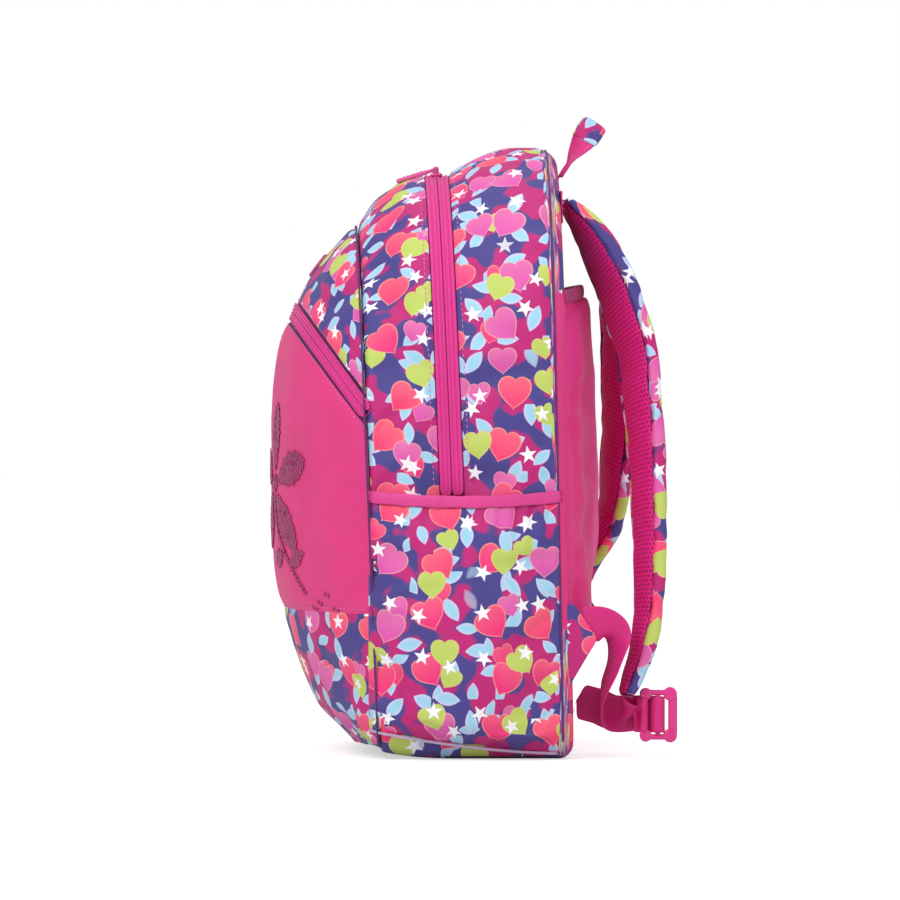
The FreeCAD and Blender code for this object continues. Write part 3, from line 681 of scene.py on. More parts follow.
def buildBody():
    shape = bodyShape
    rows = bodyRows()
    points = [row for row, tag in rows]
    tags = [tag for row, tag in rows]
    uvs = []
    for row, tag in rows:
        if tag == "back":
            uvs.append([(p.x, p.z) for p in row])
        else:
            # The print stands upright on the sides and runs over the top.
            spring = max(p.z for p in row) - shape["halfWidth"]
            uvs.append([(500.0 - p.y, printHeight(p, spring)) for p in row])
    names = ["backPanel", "rearGusset", "frontGusset", "sidePanels", "basePanel", "seamFacing",
             "lowerBack"]
    kinds = ["printCloth", "printCloth", "printCloth", "printCloth", "darkBinding", "lining",
             "pinkCloth"]

    low, high = shape["lowerBack"]

    def pick(row, centre):
        tag = tags[row]
        if tag == "inside" or tags[min(row + 1, len(tags) - 1)] == "inside":
            return 5
        if tag == "back":
            return 6 if low < centre.z < high else 0
        if centre.z < 1.5:
            return 4
        if centre.z < shape["split"]:
            return 3
        if tag == "rear" and tags[row + 1] == "rear":
            return 1
        if tag == "front":
            return 2
        return 5

    body = sheetFrom("body", points, uvs, kinds, pick)
    weld(body)

    zipSin = sine(shape["zipLean"])
    backSin = sine(shape["backLean"])

    def distances(p):
        # From the main zip, the back seam and the front seam.
        return (abs(p.y + p.z * zipSin), abs(p.y + p.z * backSin - shape["backY"]),
                abs(p.y + p.z * zipSin - shape["seamY"]))

    def seams(p):
        fromZip, fromBack, fromFront = distances(p)
        near = min(max(fromZip - 7, 0), fromBack, fromFront)
        behind = p.y > shape["backY"] - p.z * backSin + 3
        return 1.0 if p.z < shape["footLine"] or behind or near < 2.5 else 0.0

    swell(body, seams, *shape["swell"])

    def folds(p, normal):
        fromZip, fromBack, fromFront = distances(p)
        if p.z < shape["footLine"] or fromZip < 9 or normal.y > 0.7:
            return 0.0
        near = min(fromZip - 8, fromBack, fromFront)
        hold = ease(near / 14)
        soft = cloud(p.x * 0.012, p.y * 0.02, p.z * 0.016, 3.0)
        pucker = cloud(p.x * 0.05 + 7, p.y * 0.02, p.z * 0.07, 1.3)
        crease = -abs(cloud(p.x * 0.01 + 3, p.y * 0.03 + p.z * 0.012, p.z * 0.03, 2.2))
        return (soft + crease) * hold + pucker * ease(near / 5) * (1 - 0.6 * hold)

    rumple(body, folds)
    soften(body)
    parts = splitByMaterial(body, names)
    sewnOn = {"backPanel": ("back_panel",), "rearGusset": ("rear_gusset",),
              "frontGusset": ("front_gusset",),
              "sidePanels": ("side_panel_right", "side_panel_left"), "basePanel": ("base_panel",)}
    for name, replaced in sewnOn.items():
        place(parts[name], "root", "print_fabric", *replaced)
    place(parts["seamFacing"], "root", "lining")
    place(parts["lowerBack"], "root", "pink_fabric")
    print("body panels:", ", ".join(sorted(parts)))
    return parts


bodyParts = buildBody()


# Front dome: sections that turn about a line behind the front seam.

domeShape = {
    "profile": [(-74.4, 383), (-103, 352), (-124.5, 314), (-135.5, 250), (-134.6, 168),
                (-125.5, 100),
                (-105, 38), (-80, 11), (-62, 5)],
    "fanBack": 30.5, "fanHeight": 193.5, "pitch": 53.7, "bandHalf": 6.5, "foot": 9.0,
    "lowerSeam": 105.0, "columns": 76, "channel": 4.0, "swell": (4.0, 2.0, 0.02), "fill": 0.6,
}


def smoothLine(points, steps):
    # A smooth line through points, by cubic pieces.
    line = []
    ends = [points[0] * 2 - points[1]] + list(points) + [points[-1] * 2 - points[-2]]
    for index in range(1, len(ends) - 2):
        a, b, c, d = ends[index - 1:index + 3]
        for step in range(steps):
            t = step / steps
            line.append(0.5 * ((2 * b) + (c - a) * t + (2 * a - 5 * b + 4 * c - d) * t * t
                               + (3 * b - a - 3 * c + d) * t ** 3))
    line.append(ends[-2])
    return line


domeLine = smoothLine([Vector(p) for p in domeShape["profile"]], 24)
fanStart = Vector((bodyShape["seamY"] + domeShape["fanBack"], domeShape["fanHeight"]))


def seamHalf(height):
    shape = bodyShape
    spring = shape["seamCrown"] - shape["halfWidth"]
    if height > spring:
        return math.sqrt(max(shape["halfWidth"] ** 2 - (height - spring) ** 2, 0))
    drop = shape["seamFoot"] + shape["corner"] - height
    if drop > 0:
        reach = math.sqrt(max(shape["corner"] ** 2 - drop ** 2, 0))
        return shape["halfWidth"] - shape["corner"] + reach
    return shape["halfWidth"]


@functools.lru_cache(maxsize=None)
def domeReach(startY, startZ, pitch):
    # How far along a section its chord and its front lie.
    start = Vector((startY, startZ))
    slope = math.tan(math.radians(bodyShape["zipLean"]))
    ray = Vector((-cosine(pitch), sine(pitch)))
    reach = (start.x - bodyShape["seamY"] + start.y * slope) / (cosine(pitch) - sine(pitch) * slope)
    side = Vector((-ray.y, ray.x))
    far = reach + 1.0
    for a, b in zip(domeLine, domeLine[1:]):
        da = (a - start).dot(side)
        db = (b - start).dot(side)
        if da * db <= 0 and da != db:
            hit = a + (b - a) * (da / (da - db))
            if (hit - start).dot(ray) > 0:
                far = max(far, (hit - start).dot(ray))
    return reach, far


def domePoint(start, pitch, share):
    # Point on the section's arc, share from 0 at the left seam to 1 at the right one.
    reach, far = domeReach(start.x, start.y, round(pitch, 3))
    ray = Vector((-cosine(pitch), sine(pitch)))
    chord = start + ray * reach
    depth = far - reach
    half = max(seamHalf(chord.y / cosine(bodyShape["zipLean"])), 0.5)
    x, out = bow(half, depth, share)
    spot = chord + ray * out
    return Vector((x, spot.x, spot.y))


def domeRows():
    shape = domeShape
    columns = shape["columns"]
    shares = [step / columns for step in range(columns + 1)]
    rows = []
    heights = spread(shape["foot"], 45, 7) + spread(45, shape["lowerSeam"], 9)[1:]
    heights += spread(shape["lowerSeam"], shape["fanHeight"], 13)[1:]
    for height in heights[:-1]:
        kind = "lower" if height < shape["lowerSeam"] - 0.1 else "pocket"
        rows.append(([domePoint(Vector((fanStart.x, height)), 0, share) for share in shares], kind))

    def bandTurn(share, distance):
        point = domePoint(fanStart, shape["pitch"], share)
        radius = math.hypot(point.y - fanStart.x, point.z - fanStart.y)
        return math.degrees(distance / radius)

    half = shape["bandHalf"]
    edges = [bandTurn(share, half) for share in shares]
    steps = 13
    for step in range(steps + 1):
        rows.append(([domePoint(fanStart, (shape["pitch"] - edge) * step / steps, share)
                      for share, edge in zip(shares, edges)], "pocket"))
    for sign in (-1, 1):
        row = []
        for share in shares:
            pitch = shape["pitch"] + sign * bandTurn(share, half - 1.0)
            point = domePoint(fanStart, pitch, share)
            centre = Vector((0, fanStart.x, fanStart.y))
            row.append(point + (centre - point).normalized() * shape["channel"])
        rows.append((row, "band"))
    seamTop = bodyShape["seamCrown"] - bodyShape["halfWidth"]
    pitches = []
    for turn in spread(7, 88, 26):
        height = seamTop + bodyShape["halfWidth"] * sine(turn)
        seam = Vector((bodyShape["seamY"] - height * sine(bodyShape["zipLean"]),
                       height * cosine(bodyShape["zipLean"])))
        pitches.append(math.degrees(math.atan2(seam.y - fanStart.y, fanStart.x - seam.x)))
    pitches = [pitch for pitch in pitches if pitch > shape["pitch"] + 4]
    last = pitches[-1]
    for pitch in [shape["pitch"]] + pitches:
        climb = (pitch - shape["pitch"]) / (last - shape["pitch"])
        rows.append(([domePoint(fanStart,
                                shape["pitch"] + edge + (last - shape["pitch"] - edge) * climb,
                                share)
                      for share, edge in zip(shares, edges)], "upper"))
    return rows


def buildDome():
    shape = domeShape
    rows = domeRows()
    points = [row for row, kind in rows]
    kinds = [kind for row, kind in rows]
    middle = shape["columns"] // 2
    uvs = []
    up = 0.0
    for index, row in enumerate(points):
        if index:
            up += (row[middle] - points[index - 1][middle]).length
        lengths = [0.0]
        for a, b in zip(row, row[1:]):
            lengths.append(lengths[-1] + (b - a).length)
        uvs.append([(length - lengths[-1] / 2 + 300, up) for length in lengths])
    names = ["pocketLowerPanel", "pocketPanel", "zipFacing", "frontPanel"]
    materials = ["printCloth", "pinkCloth", "lining", "printCloth"]

    def pick(row, centre):
        kind, after = kinds[row], kinds[min(row + 1, len(kinds) - 1)]
        if kind == "lower":
            return 0
        if kind == "pocket" and after == "pocket":
            return 1
        if kind == "upper":
            return 3
        return 2

    dome = sheetFrom("dome", points, uvs, materials, pick)
    weld(dome)
    zipSin = sine(bodyShape["zipLean"])

    def pitchOf(p):
        return math.degrees(math.atan2(p.z - fanStart.y, fanStart.x - p.y))

    def edgeDistance(p):
        fromSeam = abs(p.y + p.z * zipSin - bodyShape["seamY"])
        radius = math.hypot(p.y - fanStart.x, p.z - fanStart.y)
        fromZip = abs(math.radians(pitchOf(p)
                                   - shape["pitch"])) * radius if p.z > fanStart.y else 90.0
        return fromSeam, fromZip, abs(p.z - shape["lowerSeam"])

    def seams(p):
        fromSeam, fromZip, fromLower = edgeDistance(p)
        if fromSeam < 3 or fromZip < 9 or p.z < 10.5:
            return 1.0
        if fromLower < 2.5:
            return 0.8
        return 0.0

    swell(dome, seams, *shape["swell"])

    def folds(p, normal):
        fromSeam, fromZip, fromLower = edgeDistance(p)
        hold = min(ease(fromSeam / 18), ease((fromZip - 6) / 14), ease(fromLower / 9 + 0.15))
        soft = cloud(p.x * 0.011 + 2, p.y * 0.014, p.z * 0.012, 3.2)
        lower = ease((shape["lowerSeam"] - p.z) / 30)
        # Two slack folds slant across the lower panel near its sides.
        slant = (abs(p.x) - 96) * 0.55 + (p.z - 68)
        fold = -4.0 * math.exp(-(slant / 7) ** 2) * ease((abs(p.x) - 70) / 30) * lower
        pucker = cloud(p.x * 0.05, p.y * 0.05 + 5, p.z * 0.05, 1.0)
        return (soft + fold) * hold + pucker * ease(fromZip / 12) * ease(fromSeam / 6)

    rumple(dome, folds)
    soften(dome)
    parts = splitByMaterial(dome, names)
    place(parts["pocketLowerPanel"], "root", "print_fabric", "pocket_lower_panel")
    place(parts["pocketPanel"], "root", "pink_fabric", "pocket_panel")
    place(parts["zipFacing"], "root", "lining")
    place(parts["frontPanel"], "root", "print_fabric", "front_panel")
    print("dome panels:", ", ".join(sorted(parts)))
    return parts


domeParts = buildDome()


# Swept pieces: a profile of (across, out) pairs carried along a line.

def alongLine(points):
    lengths = [0.0]
    for a, b in zip(points, points[1:]):
        lengths.append(lengths[-1] + (b - a).length)
    return lengths


def tangentAt(line, index):
    before = line[max(index - 1, 0)]
    after = line[min(index + 1, len(line) - 1)]
    return (after - before).normalized()


def outwards(piece):
    only(piece)
    bpy.ops.object.mode_set(mode="EDIT")
    bpy.ops.mesh.select_all(action="SELECT")
    bpy.ops.mesh.remove_doubles(threshold=0.00002)
    bpy.ops.mesh.normals_make_consistent(inside=False)
    bpy.ops.object.mode_set(mode="OBJECT")


def sweep(name, line, normals, profile, material, capped=True):
    rows = []
    uvs = []
    lengths = alongLine(line)
    for index, (point, normal) in enumerate(zip(line, normals)):
        tangent = tangentAt(line, index)
        normal = (normal - tangent * normal.dot(tangent)).normalized()
        across = normal.cross(tangent)
        shape = profile(index) if callable(profile) else profile
        shape = list(shape) + [shape[0]]
        rows.append([point + across * a + normal * o for a, o in shape])
        around = [0.0]
        for (a, o), (c, d) in zip(shape, shape[1:]):
            around.append(around[-1] + math.hypot(c - a, d - o))
        uvs.append([(distance, lengths[index]) for distance in around])
    if capped:
        for at, end in ((0, 0), (len(rows), -1)):
            middle = sum(rows[end][:-1], Vector()) / (len(rows[end]) - 1)
            rows.insert(at, [middle] * len(rows[0]))
            uvs.insert(at, [(0.0, lengths[end])] * len(rows[0]))
    piece = sheetFrom(name, rows, uvs, [material])
    outwards(piece)
    return piece


def roundProfile(radius, sides=8, flat=1.0):
    return [(radius * cosine(360 * step / sides), radius * flat * sine(360 * step / sides))
            for step in range(sides)]


def tapeProfile(width, thickness, steps=6, crown=0.0):
    # A flat band with softened edges, raised a little in the middle.
    half = width / 2
    top = [(-half + width * step / steps, thickness / 2 + crown * (1 - (2 * step / steps - 1) ** 2))
           for step in range(steps + 1)]
    low = [(a, -thickness / 2 + crown * (1 - (a / half) ** 2)) for a, _ in reversed(top)]
    return [(-half - thickness * 0.3, 0.0)] + top + [(half + thickness * 0.3, 0.0)] + low


def joined(name, pieces):
    bpy.ops.object.select_all(action="DESELECT")
    for piece in pieces:
        piece.select_set(True)
    bpy.context.view_layer.objects.active = pieces[0]
    if len(pieces) > 1:
        bpy.ops.object.join()
    pieces[0].name = name
    pieces[0].data.name = name
    return pieces[0]


def skinOf(*pieces):
    # Surfaces to lay trim on, in millimetres.
    points, faces = [], []
    for piece in pieces:
        start = len(points)
        points += [vertex.co / mm for vertex in piece.data.vertices]
        faces += [[start + index for index in face.vertices] for face in piece.data.polygons]
    return BVHTree.FromPolygons(points, faces)


# Seam piping and the main zip.

trimShape = {"backPiping": 0.9, "frontPiping": 0.8, "stitchPitch": 4.2, "stitchLength": 2.6,
             "stitchOff": 13.0, "pocketOff": 9.4, "lowerOff": 3.2, "stitchThick": 0.34}
zipShape = {"tape": [(0.1, -1.6), (0.1, -0.5), (0.5, 0.2), (1.3, 0.45), (2.1, 0.2), (2.5, -0.8),
                     (2.9, 0.1), (3.7, 0.4),
                     (4.5, 0.3), (5.1, 0.0), (5.5, -0.9), (5.9, 0.2), (6.8, 0.5), (7.9, 0.4),
                     (8.5, -0.3), (8.5, -1.6), (4.5, -1.8)],
           "pocketCone": 32.5, "pocketOverrun": 0.4, "wide": 5.0, "narrowed": 0.43}


def seamRing(baseY, lean, crown, foot, low):
    return [p for p in ring(baseY, lean, crown, foot) if p.z > low]


def ringNormals(points, crown):
    # Outwards in the plane of an outline.
    spring = crown - bodyShape["halfWidth"]
    corner = bodyShape["corner"]
    flat = bodyShape["halfWidth"] - corner
    normals = []
    for p in points:
        if p.z > spring:
            normals.append(Vector((p.x, 0, p.z - spring)).normalized())
        elif p.z < corner + 2 and abs(p.x) > flat:
            side = math.copysign(flat, p.x)
            normals.append(Vector((p.x - side, 0, p.z - corner)).normalized())
        else:
            normals.append(Vector((math.copysign(1, p.x), 0, 0)))
    return normals


def buildTrim():
    shape = bodyShape
    back = seamRing(shape["backY"], shape["backLean"], shape["backCrown"], 0, 9.5)
    piping = sweep("backPiping", back, ringNormals(back, shape["backCrown"]),
                   roundProfile(trimShape["backPiping"]), "darkBinding")
    soften(piping, 1)
    place(piping, "root", "piping", "back_piping")
    front = seamRing(shape["seamY"] - 1.2, shape["zipLean"], shape["seamCrown"], shape["seamFoot"],
                     9.5)
    piping = sweep("frontPiping", front, ringNormals(front, shape["seamCrown"]),
                   roundProfile(trimShape["frontPiping"]), "darkBinding")
    soften(piping, 1)
    place(piping, "root", "piping", "front_piping")

    line = [p
            for p in ring(shape["zipY"], shape["zipLean"], shape["zipCrown"])
            if p.z > shape["split"] - 2]
    normals = ringNormals(line, shape["zipCrown"])
    for name, sign in (("Rear", 1), ("Front", -1)):
        profile = [(sign * a, o) for a, o in zipShape["tape"]]
        # The rear tape lies on the +Y side of the zip's middle.
        flip = 1 if normals[0].cross(tangentAt(line, 0)).y > 0 else -1
        tape = sweep("zipTape" + name, line, normals, [(a * flip, o) for a, o in profile],
                     "zipTape")
        soften(tape, 1)
        place(tape, "root", "zip_tape", "zip_tape_" + name.lower())
    print("seam piping and zip tapes")


buildTrim()


def pocketZipLine():
    shape = domeShape
    reach, far = domeReach(fanStart.x, fanStart.y, shape["pitch"])
    ray = Vector((0, -cosine(shape["pitch"]), sine(shape["pitch"])))
    axis = Vector((0, sine(shape["pitch"]), cosine(shape["pitch"])))
    chord = Vector((0, fanStart.x, fanStart.y)) + ray * reach
    half = seamHalf(chord.z / cosine(bodyShape["zipLean"]))
    depth = far - reach
    radius = (half * half + depth * depth) / (2 * depth)
    centre = chord + ray * (depth - radius)
    halfAngle = math.degrees(math.asin(half / radius))
    return centre, axis, ray, radius, halfAngle


def pocketZipAt(angle):
    # Point, along, across and outward directions on the pocket zip's arc.
    centre, axis, ray, radius = pocketZipLine()[:4]
    cone = zipShape["pocketCone"]
    radial = ray * cosine(angle) + Vector((1, 0, 0)) * sine(angle)
    along = Vector((1, 0, 0)) * cosine(angle) - ray * sine(angle)
    across = radial * sine(cone) + axis * cosine(cone)
    outward = radial * cosine(cone) - axis * sine(cone)
    return centre + radial * radius, along, across, outward


def buildPocketZip():
    halfAngle = pocketZipLine()[4]
    shape = zipShape
    reach = halfAngle + shape["pocketOverrun"]
    angles = spread(-reach, reach, 90)
    line = [pocketZipAt(angle)[0] for angle in angles]
    normals = [pocketZipAt(angle)[3] for angle in angles]
    flip = 1 if normals[0].cross(tangentAt(line, 0)).dot(pocketZipAt(angles[0])[2]) > 0 else -1
    for name, sign in (("Upper", 1), ("Lower", -1)):
        # The tape's outer edge is narrower here than on the main zip.
        wide = shape["wide"]
        profile = [(flip * sign * (min(a, wide) + max(a - wide, 0) * shape["narrowed"]), o)
                   for a, o in shape["tape"]]
        tape = sweep("pocketTape" + name, line, normals, profile, "zipTape")
        soften(tape, 1)
        place(tape, "root", "zip_tape", "pocket_tape_" + name.lower())
    print("pocket zip")


buildPocketZip()


# Sliders and their moulded pullers, modelled flat and then set on the zip.

sliderShape = {
    "length": 15.0, "width": 9.0, "plate": 1.6, "lift": 0.4, "under": (-5.4, -3.9),
    "pin": 3.0, "pinHalf": 3.2, "pinRadius": 0.75, "ear": 2.55, "earHalf": 0.65, "earDeep": 2.0,
    "pull": 30.0, "pullWidth": 8.0, "pullThick": 2.8, "neck": 6.0,
    "eyeHalf": 1.6, "eyeRadius": 1.9,
    "ribs": (11.0, 13.6, 16.2, 18.8, 21.4, 24.0), "ribHalf": 0.55, "ribRise": 0.35,
    "mainAngle": 4.2, "mainDroop": 15.0, "pocketAngle": -54.0, "pocketDroop": 4.0,
}


def roundedBlock(low, high, bevel, segments=3):
    bpy.ops.object.select_all(action="DESELECT")
    centre = (Vector(low) + Vector(high)) / 2
    bpy.ops.mesh.primitive_cube_add(size=1, location=centre * mm)
    block = bpy.context.object
    block.scale = (Vector(high) - Vector(low)) * mm
    bpy.ops.object.transform_apply(location=True, rotation=True, scale=True)
    apply(block, "BEVEL", "edges", width=bevel * mm, segments=segments, limit_method="ANGLE")
    bpy.ops.object.select_all(action="DESELECT")
    return block


def rod(start, end, radius, sides=16):
    bpy.ops.object.select_all(action="DESELECT")
    start, end = Vector(start), Vector(end)
    along = end - start
    bpy.ops.mesh.primitive_cylinder_add(vertices=sides, radius=radius * mm, depth=along.length * mm,
                                        location=(start + end) / 2 * mm)
    piece = bpy.context.object
    piece.rotation_euler = along.to_track_quat("Z", "Y").to_euler()
    bpy.ops.object.transform_apply(location=True, rotation=True, scale=True)
    apply(piece, "BEVEL", "edges", width=radius * 0.25 * mm, segments=2, limit_method="ANGLE")
    return piece


def pulled(block, pick, scale, about):
    # Scales the picked corners of a block about a point.
    only(block)
    for vertex in block.data.vertices:
        spot = vertex.co / mm
        if pick(spot):
            moved = Vector(about) + Vector([(c - a) * s for c, a, s in zip(spot, about, scale)])
            vertex.co = moved * mm


def setOn(piece, origin, along, across, outward, material):
    matrix = Matrix((
        (along.x, across.x, outward.x, origin.x * mm),
        (along.y, across.y, outward.y, origin.y * mm),
        (along.z, across.z, outward.z, origin.z * mm),
        (0, 0, 0, 1)))
    piece.data.transform(matrix)
    if matrix.determinant() < 0:
        piece.data.flip_normals()
    piece.data.materials.clear()
    piece.data.materials.append(finishes[material])
    only(piece)
    bpy.ops.object.shade_smooth_by_angle(angle=math.radians(40))
    return piece


def buildSlider(name, where, mirror, droop, body, node, pullBody, pullNode):
    shape = sliderShape
    origin, along, across, outward = where
    if mirror:
        along = along * -1
    half = shape["length"] / 2
    top = shape["lift"] + shape["plate"]
    plate = roundedBlock((-half, -shape["width"] / 2, shape["lift"]),
                         (half, shape["width"] / 2, top), 0.7)
    pulled(plate, lambda p: p.x < -half * 0.4, (1, 0.72, 1), (0, 0, 0))
    low, high = shape["under"]
    under = roundedBlock((-half, -shape["width"] / 2, low), (half, shape["width"] / 2, high), 0.5)
    post = roundedBlock((half - 5, -0.6, -4.2), (half, 0.6, shape["lift"] + 0.3), 0.2, 1)
    height = top + shape["pin"]
    thin, deep = shape["earHalf"], shape["earDeep"]
    ears = [roundedBlock((middle - thin, -deep, top - 0.3), (middle + thin, deep, height + 1.4),
                         0.5)
            for middle in (-shape["ear"], shape["ear"])]
    reach = shape["pinHalf"]
    pin = rod((-reach, 0, height), (reach, 0, height), shape["pinRadius"])
    slider = joined(name, [plate, under, post] + ears + [pin])
    setOn(slider, origin, along, across, outward, "sliderMetal")
    place(slider, body, "slider_metal", node)

    # Puller: an eye round the pin, a neck and a ribbed grip.
    thick = shape["pullThick"] / 2
    width = shape["pullWidth"] / 2
    slim = shape["eyeHalf"]
    eye = rod((-slim, 0, height), (slim, 0, height), shape["eyeRadius"], 20)
    neck = roundedBlock((-slim, -shape["neck"] - 1, height - thick * 0.8),
                        (slim, -1.0, height + thick * 0.8), 0.5)
    grip = roundedBlock((-width, -shape["pull"], height - thick),
                        (width, -shape["neck"], height + thick), 1.25, 4)
    pulled(grip, lambda p: p.y > -shape["neck"] - 2, (0.7, 1, 1), (0, 0, height))
    wide, long, tall = width * 0.72, shape["ribHalf"], thick + shape["ribRise"]
    ribs = [roundedBlock((-wide, -y - long, height - tall), (wide, -y + long, height + tall), 0.3,
                         2)
            for y in shape["ribs"]]
    pull = joined(name + "Pull", [eye, neck, grip] + ribs)
    turn = Matrix.Rotation(math.radians(droop), 4, "X")
    lift = Matrix.Translation((0, 0, height * mm))
    pull.data.transform(lift @ turn @ lift.inverted())
    setOn(pull, origin, along, across, outward, "pullerRubber")
    place(pull, pullBody, "puller_rubber", pullNode)


def mainZipAt(angle):
    shape = bodyShape
    axis = Vector((0, cosine(shape["zipLean"]), sine(shape["zipLean"])))
    spring = shape["zipCrown"] - shape["halfWidth"]
    centre = Vector((0, shape["zipY"] - spring * sine(shape["zipLean"]),
                     spring * cosine(shape["zipLean"])))
    up = Vector((0, -sine(shape["zipLean"]), cosine(shape["zipLean"])))
    outward = up * cosine(angle) + Vector((sine(angle), 0, 0))
    along = Vector((cosine(angle), 0, 0)) - up * sine(angle)
    return centre + outward * shape["halfWidth"], along, axis, outward


def buildSliders():
    shape = sliderShape
    for name, side in (("right", 1), ("left", -1)):
        buildSlider("mainSlider" + name.title(), mainZipAt(side * shape["mainAngle"]), side < 0,
                    shape["mainDroop"],
                    "main_slider_" + name, "main_slider_" + name, "main_pull_" + name,
                    "main_pull_" + name)
    buildSlider("pocketSlider", pocketZipAt(shape["pocketAngle"]), False, shape["pocketDroop"],
                "pocket_slider", "pocket_slider", "pocket_pull", "pocket_pull")
    for name, side in (("right", 1), ("left", -1)):
        low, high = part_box("zip_end_tab_" + name)
        low, high = Vector(low) / mm, Vector(high) / mm
        tab = roundedBlock(low + Vector((-0.4, 0, 0)), high + Vector((0.4, 0, 0)), 0.7)
        tab = joined("zipEndTab" + name.title(), [tab])
        setOn(tab, Vector(), Vector((1, 0, 0)), Vector((0, 1, 0)), Vector((0, 0, 1)), "zipCoil")
        place(tab, "root", "pink_fabric", "zip_end_tab_" + name)
    print("sliders and pullers")


buildSliders()


# Side pockets: slack printed cloth gathered under an elastic binding.

# Its depths are pairs: share of the height, and how far it stands out there.
pocketShape = {
    "front": -68.0, "back": 70.0, "top": 184.5, "wall": 1.6,
    "footBack": 5.0, "footRise": 17.0, "footCurve": 1.6,
    "depths": [(0.0, 3.0), (0.13, 14.0), (0.36, 20.0), (0.56, 21.5), (0.8, 19.5), (1.0, 16.0)],
    "bindingHeight": 9.0, "bindingThick": 2.6, "bindingRise": 4.5, "sag": 3.5,
    "edgePiping": 1.2, "swell": (2.5, 4.0, 0.04), "fill": 0.3,
}


def depthAt(share):
    steps = pocketShape["depths"]
    for index, ((a, b), (c, d)) in enumerate(zip(steps, steps[1:])):
        if share <= c:
            part = (share - a) / (c - a)
            return b + (d - b) * (math.sin(part * math.pi / 2) if index == 0 else ease(part))
    return steps[-1][1]


sideSkin = skinOf(*[bodyParts[name]
                    for name in ("sidePanels", "frontGusset", "rearGusset", "basePanel",
                                 "backPanel", "lowerBack")],
                  *[domeParts[name] for name in ("pocketPanel", "pocketLowerPanel", "frontPanel")])


def sideReach(y, height):
    # How far the bag's side falls short of its full half width under a pocket.
    hit = sideSkin.ray_cast(Vector((260, y, height)), Vector((-1, 0, 0)))
    return min(hit[0].x - bodyShape["halfWidth"], 0.0) if hit[0] else -4.0


def pocketPoint(side, up, share, extra=0.0):
    # up and share run from 0 to 1, from the foot and from the front edge.
    shape = pocketShape
    depth = depthAt(up) + extra
    half = (shape["back"] - shape["front"]) / 2
    along, out = bow(half, depth, share)
    y = (shape["front"] + shape["back"]) / 2 + along
    foot = shape["footBack"] + shape["footRise"] * (1 - share) ** shape["footCurve"]
    height = between(foot, shape["top"], up)
    out += sideReach(y, height)
    return Vector((side * (bodyShape["halfWidth"] + out), y, height))


def buildSidePocket(name, side):
    shape = pocketShape
    shares = spread(0, 1, 60)
    if side < 0:
        shares.reverse()
    ups = spread(0, 0.14, 8) + spread(0.14, 1, 42)[1:]
    rows = []
    uvs = []
    for up in ups:
        row = [pocketPoint(side, up, share) for share in shares]
        sag = shape["sag"] * ease((up - 0.65) / 0.35)
        rows.append([p - Vector((0, 0, sag * (1 - (2 * share - 1) ** 2)))
                     for p, share in zip(row, shares)])
        uvs.append([(700.0 * side + share * 146 * side, p.z + 40) for p, share in zip(row, shares)])
    pocket = sheetFrom("sidePocket" + name.title(), rows, uvs, ["printCloth"])

    def seams(p):
        edge = min(p.y - shape["front"], shape["back"] - p.y)
        forward = max((shape["back"] - p.y) / (shape["back"] - shape["front"]), 0)
        foot = p.z - shape["footBack"] - shape["footRise"] * forward ** shape["footCurve"]
        return 1.0 if edge < 3 or foot < 3 or p.z > shape["top"] - 10 else 0.0

    swell(pocket, seams, *shape["swell"])

    def folds(p, normal):
        edge = ease(min(p.y - shape["front"], shape["back"] - p.y) / 12)
        top = math.exp(-(shape["top"] - p.z) / 26)
        foot = math.exp(-max(p.z - shape["footBack"], 0) / 18)
        gather = cloud(p.y * 0.17, side * 3.0, p.z * 0.012, 4.2)
        pucker = cloud(p.y * 0.1, side * 5.0 + 9, p.z * 0.03, 2.6)
        soft = cloud(p.y * 0.02, side * 2.0, p.z * 0.014, 4.0)
        crease = -abs(cloud(p.y * 0.022 + p.z * 0.016, side, p.z * 0.006, 4.0))
        return edge * (gather * top + pucker * foot + (soft + crease)
                       * ease((shape["top"] - p.z) / 30))

    rumple(pocket, folds)
    apply(pocket, "SOLIDIFY", "cloth", thickness=shape["wall"] * mm, offset=-1.0)
    soften(pocket)
    place(pocket, "root", "print_fabric", "side_pocket_" + name)

    line = []
    normals = []
    for share in spread(0, 1, 120):
        sag = shape["sag"] * (1 - (2 * share - 1) ** 2)
        line.append(pocketPoint(side, 1.0, share, 0.8) + Vector((0, 0, shape["bindingRise"] - sag)))
        a = pocketPoint(side, 1.0, max(share - 0.01, 0))
        b = pocketPoint(side, 1.0, min(share + 0.01, 1))
        run = (b - a).normalized()
        normals.append(Vector((side, 0, 0)) - run * (run.x * side))

    def bandProfile(index):
        pinch = 1 + 0.06 * math.sin(index * 1.9) + 0.05 * math.sin(index * 0.83 + side)
        half = shape["bindingHeight"] / 2 * (1 + 0.04 * math.sin(index * 0.31))
        thick = shape["bindingThick"] / 2 * pinch
        return [(a * half, o * thick) for a, o in (
            (-1, 0), (-0.86, 0.8), (-0.5, 1), (0, 1.05), (0.5, 1), (0.86, 0.8), (1, 0),
            (0.86, -0.8), (0, -1), (-0.86, -0.8))]

    binding = sweep("pocketBinding" + name.title(), line, normals, bandProfile, "bindingTape")
    soften(binding, 1)
    place(binding, "root", "binding", "pocket_binding_" + name)

    foot = [pocketPoint(side, 0.0, share, 0.5) - Vector((0, 0, 0.4))
            for share in spread(0.01, 0.99, 80)]
    edge = sweep("pocketEdge" + name.title(), foot, [Vector((side, 0, 0))] * len(foot),
                 roundProfile(shape["edgePiping"]), "paleEdge")
    soften(edge, 1)
    place(edge, "root", "piping")


for name, side in (("right", 1), ("left", -1)):
    buildSidePocket(name, side)
print("side pockets")


# Trolley sleeve: a padded pocket over the lower back, open above and below.

